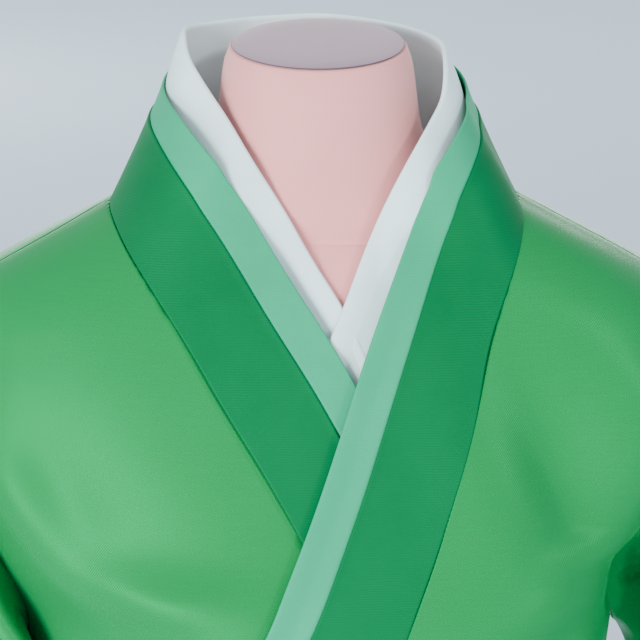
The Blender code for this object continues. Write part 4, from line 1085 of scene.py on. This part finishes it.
def dark_profile(from_outer, from_boundary, lying):
    """The dark strip's outer edge is rolled, and its other edge lies over the mint, a little lifted."""
    roll = rounded(from_outer, 1.0 * MM)
    edge = rounded(from_boundary, 0.8 * MM)
    rise = 0.25 * MM * (1 - smoothstep(from_boundary, 0.5 * MM, 4 * MM))
    return rise + 0 * lying, np.minimum(roll, edge)


def mint_profile(from_boundary, from_free, lying):
    """The mint strip runs under the dark one, and its free edge is a rounded fold.

    On the lap, which is its left half, the free edge stands off the cloth below.
    """
    dive = -1.2 * MM * (1 - smoothstep(from_boundary, 2.2 * MM, 4.2 * MM))
    edge = rounded(from_free, 1.0 * MM)
    swell = 1 + 0.25 * bell(from_free, 3 * MM)
    raised = MINT_RAISED * smoothstep(-from_free, -14 * MM, -1 * MM) * lying * left_half(len(lying))
    return dive + raised, edge * swell


def white_profile(from_outer, from_free, lying):
    """The white collar is soft and folded, thicker beside its rounded free edge.

    Where it lies it sinks under the mint strip, and where it stands it swells out to it.
    """
    edge = rounded(from_free, 1.7 * MM)
    fold = 1 + 0.35 * bell(from_free, 6 * MM)
    base = rounded(from_outer, 1.0 * MM)
    sunk = -WHITE_SINK * smoothstep(from_free, *WHITE_SINKS_OVER) * smoothstep(from_outer, 0, 20 * MM)
    sunk = sunk * smoothstep(lying, *WHITE_SINKS_LYING)
    share = from_outer / (from_outer + from_free)
    swell = WHITE_SWELL * bell(share - WHITE_SWELLS_AT, WHITE_SWELLS_OVER)
    return swell * (1 - smoothstep(lying, *WHITE_SWELL_ENDS)) + sunk, edge * fold * base


def rings_solid(name, rings, material, uv):
    """A closed solid through rings of points, with flat ends."""
    rings = np.asarray(rings)
    rows, columns = rings.shape[:2]
    verts = rings.reshape(-1, 3)
    r, c = np.meshgrid(np.arange(rows - 1), np.arange(columns), indexing="ij")
    r, c = r.ravel(), c.ravel()
    square = ((r, c), (r, c + 1), (r + 1, c + 1), (r + 1, c))
    faces = np.stack([row * columns + column % columns for row, column in square], axis=1)
    face_uv = np.stack([row * (columns + 1) + column for row, column in square], axis=1)
    mesh = bpy.data.meshes.new(name)
    ends = [list(range(columns))[::-1], list(range((rows - 1) * columns, rows * columns))]
    mesh.from_pydata(verts.tolist(), [], faces.tolist() + ends)
    layer = mesh.uv_layers.new(name="UVMap")
    flat_uv = uv.reshape(-1, 2)[face_uv.ravel()]
    end_uv = verts[ends[0] + ends[1]][:, :2] + END_UV_SHIFT
    layer.data.foreach_set("uv", np.concatenate([flat_uv, end_uv]).astype(np.float32).ravel())
    mesh.materials.append(material)
    return finished(name, mesh)


def ring_uv(rings):
    rings = np.asarray(rings)
    wrapped = np.concatenate([rings, rings[:, :1]], axis=1)
    around = lengths_along(wrapped, 1)
    up = lengths_along(rings, 0)[:, :1]
    return np.stack([around, np.broadcast_to(up, around.shape)], axis=-1)


def form_tilt(height, y):
    """The top of the neck leans forward."""
    return height + NECK_TILT * y * smoothstep(height, NECK_TILT_FROM_Z, NECK_TOP_Z)


def form_angles():
    """Angles round the form, close together at its seams."""
    near = np.array([-1.4, -0.9, -0.6, -0.35, -0.15, 0.0, 0.15, 0.35, 0.6, 0.9, 1.4])
    places = np.concatenate([np.arange(0, 360, 3.0)] + [a + near for a in FORM_SEAM_ANGLES]) % 360
    places = np.unique(np.round(places, 4))
    return places[np.concatenate([[True], np.diff(places) > 0.05])]


def form_torso(material):
    turn = form_angles()
    steps = np.array([-4, -2.4, -1.5, -0.9, -0.4, 0, 0.4, 0.9, 1.5, 2.4, 4]) * MM
    heights = np.concatenate([np.arange(0.790, NECK_TOP_Z, 0.006), NECK_SEAM_Z + steps, [NECK_TOP_Z]])
    heights = np.unique(np.round(heights, 6))
    rings = []
    for height in heights:
        half_width, front_depth, back_depth, squareness = smooth_columns(FORM_RINGS, height)[0]
        dip = np.zeros(len(turn))
        for seam in FORM_SEAM_ANGLES:
            away = np.radians(angle_between(turn, seam)) * (half_width + front_depth) / 2
            below_neck = 1 - smoothstep(height, NECK_SEAM_Z - 0.001, NECK_SEAM_Z + 0.001) * (seam != 270.0)
            dip = dip + bell(away, FORM_SEAM_HALF_WIDTH) * below_neck
        dip = dip + bell(height - NECK_SEAM_Z, FORM_SEAM_HALF_WIDTH)
        dip = FORM_SEAM_DEPTH * np.minimum(dip, 1)
        x, y = oval(turn, half_width - dip, front_depth - dip, back_depth - dip, squareness)
        rings.append(np.stack([x, y, form_tilt(height, y)], axis=-1))
    return rings_solid("form_torso_jersey", rings, material, ring_uv(rings))


def form_cap(material):
    turn = np.arange(0, 360, 3.0)
    low = NECK_TOP_Z + CAP_GAP
    rings = []
    for rise, inset in CAP_OUTLINE:
        depth = CAP_HALF_DEPTH - inset * MM
        x, y = oval(turn, CAP_HALF_WIDTH - inset * MM, depth, depth, 2.0)
        rings.append(np.stack([x, y, low + rise * MM + NECK_TILT * y], axis=-1))
    for share, rise in CAP_DOME:
        x, y = oval(turn, CAP_HALF_WIDTH * share, CAP_HALF_DEPTH * share, CAP_HALF_DEPTH * share, 2.0)
        rings.append(np.stack([x, y, low + CAP_THICKNESS * rise + NECK_TILT * y], axis=-1))
    return rings_solid("form_cap_felt", rings, material, ring_uv(rings))


def turned(name, profile, material, columns):
    """A solid turned about the upright axis."""
    turn = np.radians(np.linspace(0, 360, columns + 1)[:-1])
    rings = [np.stack([r * np.cos(turn), r * np.sin(turn), z + 0 * turn], axis=-1) for r, z in profile]
    return rings_solid(name, rings, material, ring_uv(rings))


def arc(centre_r, centre_z, radius, start, end, count):
    """Points of a round corner in a turned outline: angles from outward (0) to up (90)."""
    angles = np.radians(np.linspace(start, end, count))
    return [(centre_r + radius * math.cos(a), centre_z + radius * math.sin(a)) for a in angles]


def stand_base(material):
    edge = 3 * MM
    top = BASE_EDGE
    outline = [(0.02, 0.0), (BASE_RADIUS - 2 * MM, 0.0)]
    outline += arc(BASE_RADIUS - 1.5 * MM, 1.5 * MM, 1.5 * MM, -90, 0, 5)
    outline += arc(BASE_RADIUS - edge, top - edge, edge, 0, 88, 7)
    outline += [(0.12, top + 1.0 * MM), (0.06, top + 2.2 * MM), (HUB_RADIUS + 10 * MM, top + 3 * MM)]
    outline += [(HUB_RADIUS + 4 * MM, top + 4.2 * MM), (HUB_RADIUS + 1 * MM, top + 6.4 * MM)]
    outline += [(HUB_RADIUS, top + 9 * MM), (HUB_RADIUS, HUB_TOP_Z - 2 * MM)]
    outline += arc(HUB_RADIUS - 2 * MM, HUB_TOP_Z - 2 * MM, 2 * MM, 15, 90, 5)
    outline += [(POLE_RADIUS + 0.6 * MM, HUB_TOP_Z), (0.004, HUB_TOP_Z - 0.1 * MM)]
    return turned("stand_base_plate", outline, material, 160)


def stand_pole(material):
    plate_top = FORM_RINGS[0][0] - 0.3 * MM
    under = plate_top - PLATE_THICKNESS
    outline = [(0.002, HUB_TOP_Z + 0.3 * MM), (POLE_RADIUS - 0.3 * MM, HUB_TOP_Z + 0.3 * MM)]
    outline += [(POLE_RADIUS, HUB_TOP_Z + 0.7 * MM), (POLE_RADIUS, 0.2), (POLE_RADIUS, 0.5)]
    outline += [(POLE_RADIUS, under - 10 * MM), (POLE_RADIUS + 1.2 * MM, under - 6 * MM)]
    outline += [(POLE_RADIUS + 4 * MM, under - 2 * MM), (POLE_RADIUS + 8 * MM, under)]
    outline += [(PLATE_RADIUS - 1 * MM, under), (PLATE_RADIUS, under + 1 * MM)]
    outline += [(PLATE_RADIUS, plate_top - 1 * MM), (PLATE_RADIUS - 1 * MM, plate_top), (0.01, plate_top)]
    return turned("stand_pole_tube", outline, material, 64)


def tie(name, material):
    """A flat tie, folded along both edges, that hangs on the right front."""
    route = TIE_ROUTES[name]
    keyed = [(i, *row) for i, row in enumerate(route)]
    places = np.linspace(0, len(route) - 1, TIE_STATIONS)
    angle, height, lift = smooth_columns(keyed, places).T
    half_turn = np.degrees(TIE_WIDTH / 2 / robe_rings(height)[:, 0])
    side = TIE_ACROSS
    angles = angle + side[:, None] * half_turn
    heights = np.broadcast_to(height, angles.shape)
    surface, out = robe_frame(angles, heights)
    from_edge = (1 - np.abs(side)[:, None]) * TIE_WIDTH / 2
    dent = -TIE_DENT * bell(from_edge - TIE_STITCHES_IN, TIE_STITCH_WIDTH)
    curl = TIE_CURL * side[:, None] ** 2 * np.sin(places * 2.1)[None, :]
    lifted = lift * MM + TIE_HALF + dent + np.maximum(curl, 0)
    run = lengths_along(surface, 1)
    from_end = run[:, -1:] - run
    half = np.minimum(round_edge(from_edge, TIE_HALF), round_edge(from_end, TIE_HALF))
    uv = np.stack([run, np.broadcast_to(side[:, None] * TIE_WIDTH / 2, run.shape)], axis=-1)
    return shell(name + "_strip", surface + out * lifted[..., None], out, half, material, uv)


def tie_knot(material):
    """A small pulled knot: a soft core with the tie wrapped over it in two slanted bands."""
    centre = robe_point(KNOT_ANGLE, KNOT_Z, np.array(KNOT_LIFT))
    turn = np.linspace(0, 2 * np.pi, KNOT_COLUMNS + 1)[:-1]
    tip = np.linspace(-KNOT_TIP, KNOT_TIP, KNOT_ROWS)
    rings = []
    for t in tip:
        c, s = math.cos(t) ** 0.7, math.copysign(abs(math.sin(t)) ** 0.85, math.sin(t))
        x = np.sign(np.cos(turn)) * np.abs(np.cos(turn)) ** 0.8 * c
        y = np.sign(np.sin(turn)) * np.abs(np.sin(turn)) ** 0.8 * c
        z = s + 0 * turn
        band_over = z * 0.9 + x * 0.55
        groove = bell(np.abs(band_over) - KNOT_BAND_EDGE, KNOT_GROOVE_WIDTH)
        swell = 1 + KNOT_BAND_SWELL * (np.abs(band_over) < KNOT_BAND_EDGE) - KNOT_GROOVE_DEPTH * groove
        half = np.array(KNOT_SIZE) / 2 * KNOT_CORE_SHARE
        rings.append(np.stack([x * half[0] * swell, y * half[1] * swell, z * half[2]], axis=-1))
    rings = np.asarray(rings)
    a = math.radians(90.0 - KNOT_ANGLE)
    spin = np.array([[math.cos(a), math.sin(a), 0], [-math.sin(a), math.cos(a), 0], [0, 0, 1]])
    return rings_solid("tie_knot_wrap", rings @ spin + centre, material, ring_uv(rings))


class Shader:
    """A material's node tree, with short calls to add nodes and join them."""

    def __init__(self, name, colour, roughness, metallic=0.0):
        self.material = bpy.data.materials.new(name)
        self.material.use_nodes = True
        self.tree = self.material.node_tree
        self.surface = self.tree.nodes["Principled BSDF"]
        self.surface.inputs["Base Color"].default_value = (*colour, 1.0)
        self.surface.inputs["Roughness"].default_value = roughness
        self.surface.inputs["Metallic"].default_value = metallic

    def feed(self, socket, value):
        """Joins another node's output to a socket, or sets the socket to a number."""
        if isinstance(value, bpy.types.NodeSocket):
            self.tree.links.new(value, socket)
        else:
            socket.default_value = value

    def node(self, kind, output, inputs, **settings):
        """One output of a new node. Its inputs are numbers or other nodes' outputs."""
        made = self.tree.nodes.new(kind)
        for key, value in settings.items():
            setattr(made, key, value)
        for key, value in inputs.items():
            self.feed(made.inputs[key], value)
        return made.outputs[output]

    def uv(self, scale=(1, 1, 1), turn=0.0):
        vector = self.node("ShaderNodeUVMap", "UV", {}, uv_map="UVMap")
        values = {"Vector": vector, "Scale": scale, "Rotation": (0, 0, math.radians(turn))}
        return self.node("ShaderNodeMapping", "Vector", values)

    def place(self):
        return self.node("ShaderNodeTexCoord", "Object", {})

    def noise(self, vector, scale, detail=2.0, roughness=0.5):
        values = {"Vector": vector, "Scale": scale, "Detail": detail, "Roughness": roughness}
        return self.node("ShaderNodeTexNoise", "Fac", values)

    def wave(self, vector, period, direction="X", distortion=0.0):
        """Even bands of a period in metres."""
        values = {"Vector": vector, "Scale": math.pi / 10 / period, "Distortion": distortion, "Detail": 0.0}
        return self.node("ShaderNodeTexWave", "Fac", values, wave_type="BANDS", bands_direction=direction)

    def math(self, operation, first, second):
        return self.node("ShaderNodeMath", "Value", {0: first, 1: second}, operation=operation)

    def mix(self, *parts):
        """The sum of some values, each times its share."""
        total, *others = [self.math("MULTIPLY", value, share) for value, share in parts]
        for other in others:
            total = self.math("ADD", total, other)
        return total

    def ramp(self, value, stops):
        made = self.tree.nodes.new("ShaderNodeValToRGB")
        ramp = made.color_ramp
        while len(ramp.elements) < len(stops):
            ramp.elements.new(0.5)
        for element, (at, colour) in zip(ramp.elements, stops):
            element.position = at
            element.color = (*colour, 1.0)
        self.feed(made.inputs["Fac"], value)
        return made.outputs["Color"]

    def spread(self, value, low, high):
        return self.node("ShaderNodeMapRange", "Result", {"Value": value, "To Min": low, "To Max": high})

    def part(self, vector, axis):
        return self.node("ShaderNodeSeparateXYZ", axis, {"Vector": vector})

    def between(self, value, start, end, low, high):
        """Goes from low to high as the value goes from start to end."""
        values = {"Value": value, "From Min": start, "From Max": end, "To Min": low, "To Max": high}
        return self.node("ShaderNodeMapRange", "Result", values, interpolation_type="SMOOTHSTEP")

    def shade(self, colour, share):
        """The colour times a share."""
        values = {0: colour, "Scale": share}
        return self.node("ShaderNodeVectorMath", "Vector", values, operation="SCALE")

    def blend(self, share, first, second):
        """Goes from the first colour to the second."""
        made = self.tree.nodes.new("ShaderNodeMix")
        made.data_type = "RGBA"
        colours = [socket for socket in made.inputs if socket.type == "RGBA"]
        self.feed(made.inputs["Factor"], share)
        self.feed(colours[0], first)
        self.feed(colours[1], (*second, 1.0))
        return next(socket for socket in made.outputs if socket.type == "RGBA")

    def colour(self, value):
        self.feed(self.surface.inputs["Base Color"], value)

    def roughness(self, value):
        self.feed(self.surface.inputs["Roughness"], value)

    def bump(self, value, strength, distance):
        """Adds a bump to those before it."""
        normal = self.surface.inputs["Normal"]
        values = {"Height": value, "Strength": strength, "Distance": distance}
        if normal.is_linked:
            values["Normal"] = normal.links[0].from_socket
        self.feed(normal, self.node("ShaderNodeBump", "Normal", values))

    def fixed(self, **values):
        """Numbers that are the same all over the surface."""
        for key, value in values.items():
            self.surface.inputs[key.replace("_", " ")].default_value = value


def shades(colour, *shares):
    return [tuple(min(1.0, c * share) for c in colour) for share in shares]


def satin_green():
    low, middle, high = (0.001, 0.185, 0.040), (0.001, 0.208, 0.051), (0.002, 0.232, 0.062)
    made = Shader("satin_green_weave", middle, 0.40)
    cloud = made.noise(made.place(), 7.0, 3.0)
    slub = made.noise(made.uv((40, 1100, 1)), 1.0, 2.0)
    twill = made.wave(made.uv(turn=38.0), 0.00105)
    mixed = made.mix((cloud, 0.45), (slub, 0.20), (twill, 0.35))
    made.colour(made.ramp(mixed, [(0.28, low), (0.50, middle), (0.72, high)]))
    made.roughness(made.spread(slub, 0.33, 0.41))
    made.bump(twill, 0.5, 0.00010)
    made.bump(slub, 0.12, 0.00008)
    made.fixed(Specular_IOR_Level=0.34, Specular_Tint=(0.0, 1.0, 0.30, 1.0))
    made.fixed(Sheen_Weight=0.24, Sheen_Roughness=0.35, Sheen_Tint=(0.0, 1.0, 0.30, 1.0))
    return made.material


def ribbed(name, base, rib, tint, clear):
    made = Shader(name, base, 0.55)
    low, middle, high = shades(base, 0.90, 1.0, 1.08)
    ribs = made.wave(made.place(), rib, "Z", 1.2)
    patches = made.noise(made.place(), 45.0, 2.0)
    ribs = made.math("MULTIPLY", ribs, made.between(patches, 0.35, 0.65, 0.25, 1.0))
    thread = made.noise(made.uv((900, 220, 1)), 1.0, 2.0)
    cloud = made.noise(made.place(), 22.0, 3.0)
    mixed = made.mix((ribs, clear), (cloud, 0.40), (thread, 0.25))
    made.colour(made.ramp(mixed, [(0.22, low), (0.45, middle), (0.70, high)]))
    made.roughness(made.spread(thread, 0.48, 0.62))
    made.bump(ribs, clear, 0.00012)
    made.bump(thread, 0.15, 0.00006)
    made.fixed(Specular_IOR_Level=0.4, Specular_Tint=tint)
    made.fixed(Sheen_Weight=0.12, Sheen_Roughness=0.45, Sheen_Tint=tint)
    return made.material


def white_cotton():
    base = (0.72, 0.93, 0.97)
    made = Shader("white_cotton_weave", base, 0.8)
    low, middle, high = shades(base, 0.94, 1.0, 1.03)
    warp = made.wave(made.uv(), 0.00045, "X")
    weft = made.wave(made.uv(), 0.00045, "Y")
    weave = made.math("MULTIPLY", warp, weft)
    cloud = made.noise(made.place(), 30.0, 3.0)
    plain = made.ramp(cloud, [(0.3, low), (0.5, middle), (0.7, high)])
    from_free = made.part(made.uv(), "Y")
    # Painted shade: towards its outer edge the white is mixed with grey-green, for the mint strip's shadow
    # and reflected light.
    painted_shade = made.between(from_free, *WHITE_PAINTED_SHADE_OVER, WHITE_PAINTED_SHADE_SHARE, 0.0)
    made.colour(made.blend(painted_shade, plain, WHITE_PAINTED_SHADE))
    made.roughness(made.spread(cloud, 0.74, 0.86))
    made.bump(weave, 0.20, 0.00010)
    made.bump(made.noise(made.place(), 70.0, 3.0), 0.10, 0.0006)
    made.fixed(Sheen_Weight=0.25, Sheen_Roughness=0.6)
    return made.material


def pink_jersey():
    base = (0.83, 0.335, 0.325)
    made = Shader("pink_jersey_knit", base, 0.85)
    low, middle, high = shades(base, 0.95, 1.0, 1.05)
    wales = made.wave(made.uv(), 0.0008, "X")
    courses = made.wave(made.uv(), 0.0006, "Y")
    knit = made.math("MULTIPLY", wales, courses)
    cloud = made.noise(made.place(), 14.0, 3.0)
    made.colour(made.ramp(cloud, [(0.3, low), (0.5, middle), (0.7, high)]))
    made.roughness(made.spread(cloud, 0.8, 0.92))
    made.bump(knit, 0.25, 0.00012)
    made.fixed(Sheen_Weight=0.4, Sheen_Roughness=0.5)
    return made.material


def grey_felt():
    base = (0.285, 0.170, 0.242)
    made = Shader("grey_felt_nap", base, 0.9)
    low, middle, high = shades(base, 0.92, 1.0, 1.06)
    fibre = made.noise(made.place(), 900.0, 4.0, 0.7)
    cloud = made.noise(made.place(), 30.0, 3.0)
    mixed = made.mix((fibre, 0.5), (cloud, 0.5))
    felt = made.ramp(mixed, [(0.3, low), (0.5, middle), (0.7, high)])
    from_edge = made.part(made.uv(), "Y")
    edge = made.between(from_edge, CAP_DARK_EDGE * 0.8, CAP_DARK_EDGE, CAP_EDGE_SHADE, 1.0)
    made.colour(made.shade(felt, edge))
    made.roughness(made.spread(fibre, 0.85, 0.95))
    made.bump(fibre, 0.3, 0.00015)
    made.fixed(Sheen_Weight=0.5, Sheen_Roughness=0.5)
    return made.material


def polished_steel():
    made = Shader("polished_steel_tube", (0.60, 0.60, 0.61), 0.2, 1.0)
    streak = made.noise(made.uv((1, 60, 1)), 30.0, 3.0)
    smudge = made.noise(made.place(), 25.0, 3.0)
    mixed = made.mix((streak, 0.4), (smudge, 0.6))
    made.roughness(made.spread(mixed, 0.12, 0.30))
    low, high = shades((0.60, 0.60, 0.61), 0.94, 1.05)
    made.colour(made.ramp(smudge, [(0.3, low), (0.7, high)]))
    made.bump(streak, 0.04, 0.00003)
    return made.material


def white_paint():
    base = (0.80, 0.80, 0.79)
    made = Shader("white_powder_paint", base, 0.42)
    low, middle, high = shades(base, 0.96, 1.0, 1.03)
    peel = made.noise(made.place(), 700.0, 2.0)
    dust = made.noise(made.place(), 12.0, 4.0)
    made.colour(made.ramp(dust, [(0.3, low), (0.5, middle), (0.7, high)]))
    made.roughness(made.spread(dust, 0.36, 0.50))
    made.bump(peel, 0.12, 0.00008)
    return made.material


def pale_floor():
    base = (0.54, 0.68, 0.80)
    made = Shader("pale_floor", base, 0.8)
    cloud = made.noise(made.place(), 0.4, 2.0)
    low, high = shades(base, 0.985, 1.015)
    made.colour(made.ramp(cloud, [(0.3, low), (0.7, high)]))
    return made.material


def dress(piece, node):
    """The piece stands for a CAD node, which it hides, and rides on the body."""
    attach(piece, BODY)
    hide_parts(node)
    return piece


def make_robe(satin, dark, mint, white):
    left = dress(front("front_left_satin", satin, True), "front_left")
    right = dress(front("front_right_satin", satin, False), "front_right")
    behind = dress(back("back_satin", satin), "back")
    for name, side, own_front in (("sleeve_left", 1, left), ("sleeve_right", -1, right)):
        arm = dress(sleeve(name, side, satin), name)
        arm.name = name + "_satin"

    stations = on_robe(station_curves(ROBE_COLLAR, ROBE_COLLAR_STATIONS))
    width = np.linalg.norm(stations[:, 3:6] - stations[:, 0:3], axis=1)
    split = stations[:, 7]
    lifts = (DARK_LIFTS, DARK_LIFTS)
    strip = band("collar_dark_strip", stations, 0 * split, split + DARK_OVER_MINT / width, lifts,
                 dark_profile, robe_lap, dark, DARK_ROWS)
    dress(strip, "collar_dark")
    lifts = (MINT_LIFTS, MINT_LIFTS)
    inner_strip = band("collar_mint_strip", stations, split - MINT_UNDER_DARK / width, 0 * split + 1, lifts,
                       mint_profile, robe_lap, mint, MINT_ROWS, inner=dark)
    dress(inner_strip, "collar_mint")

    curves = station_curves(WHITE_COLLAR, WHITE_COLLAR_STATIONS, WHITE_SOFTNESS)
    stations = on_robe(curves, WHITE_OUTSIDE)
    ones = np.ones(len(stations))
    collar = band("collar_white_fold", stations, 0 * ones, ones, (WHITE_LYING, WHITE_STANDING),
                  white_profile, white_lap, white, WHITE_ROWS)
    dress(collar, "collar_white")

    for name in TIE_ROUTES:
        strip = dress(tie(name, dark), name)
    dress(tie_knot(dark), "tie_knot")


def make_stand():
    dress(form_torso(pink_jersey()), "form_torso")
    dress(form_cap(grey_felt()), "form_cap")
    dress(stand_pole(polished_steel()), "stand_pole")
    dress(stand_base(white_paint()), "stand_base")


def make_floor():
    work = bmesh.new()
    bmesh.ops.create_circle(work, cap_ends=True, segments=96, radius=60.0)
    mesh = bpy.data.meshes.new("floor")
    work.to_mesh(mesh)
    work.free()
    mesh.materials.append(pale_floor())
    floor = in_scene("floor", mesh)


def add_lamp(name, kind, energy, pitch, turn):
    lamp = in_scene(name, bpy.data.lights.new(name, kind))
    lamp.data.energy = energy
    lamp.rotation_euler = (math.radians(pitch), 0, math.radians(turn))
    return lamp


def make_lights():
    """A pale world, three soft suns, and two soft panels that the camera doesn't see."""
    world = bpy.data.worlds.new("studio")
    world.use_nodes = True
    backdrop = world.node_tree.nodes["Background"]
    backdrop.inputs["Color"].default_value = WORLD_COLOUR
    backdrop.inputs["Strength"].default_value = WORLD_STRENGTH
    bpy.context.scene.world = world
    for name, pitch, turn, strength, soft in SUNS:
        sun = add_lamp(name, "SUN", strength, pitch, turn)
        sun.data.angle = math.radians(soft)
    for name, watts, size, place, pitch, turn in PANELS:
        panel = add_lamp(name, "AREA", watts, pitch, turn)
        panel.data.size = size
        panel.location = place
        panel.visible_camera = False


def make_camera():
    camera = bpy.data.cameras.new("camera")
    camera.lens = CAMERA_LENS
    camera.sensor_width = CAMERA_SENSOR
    holder = in_scene("camera", camera)
    holder.location = CAMERA_PLACE
    holder.rotation_euler = [math.radians(a) for a in CAMERA_TURN]
    bpy.context.scene.camera = holder


make_camera()
make_lights()
make_floor()
make_robe(
    satin_green(),
    ribbed("dark_ribbed_cloth", (0.000, 0.112, 0.033), 0.00125, (0.0, 1.0, 0.4, 1.0), 0.40),
    ribbed("mint_ribbed_cloth", (0.015, 0.340, 0.168), 0.00125, (0.1, 1.0, 0.6, 1.0), 0.20),
    white_cotton(),
)
make_stand()
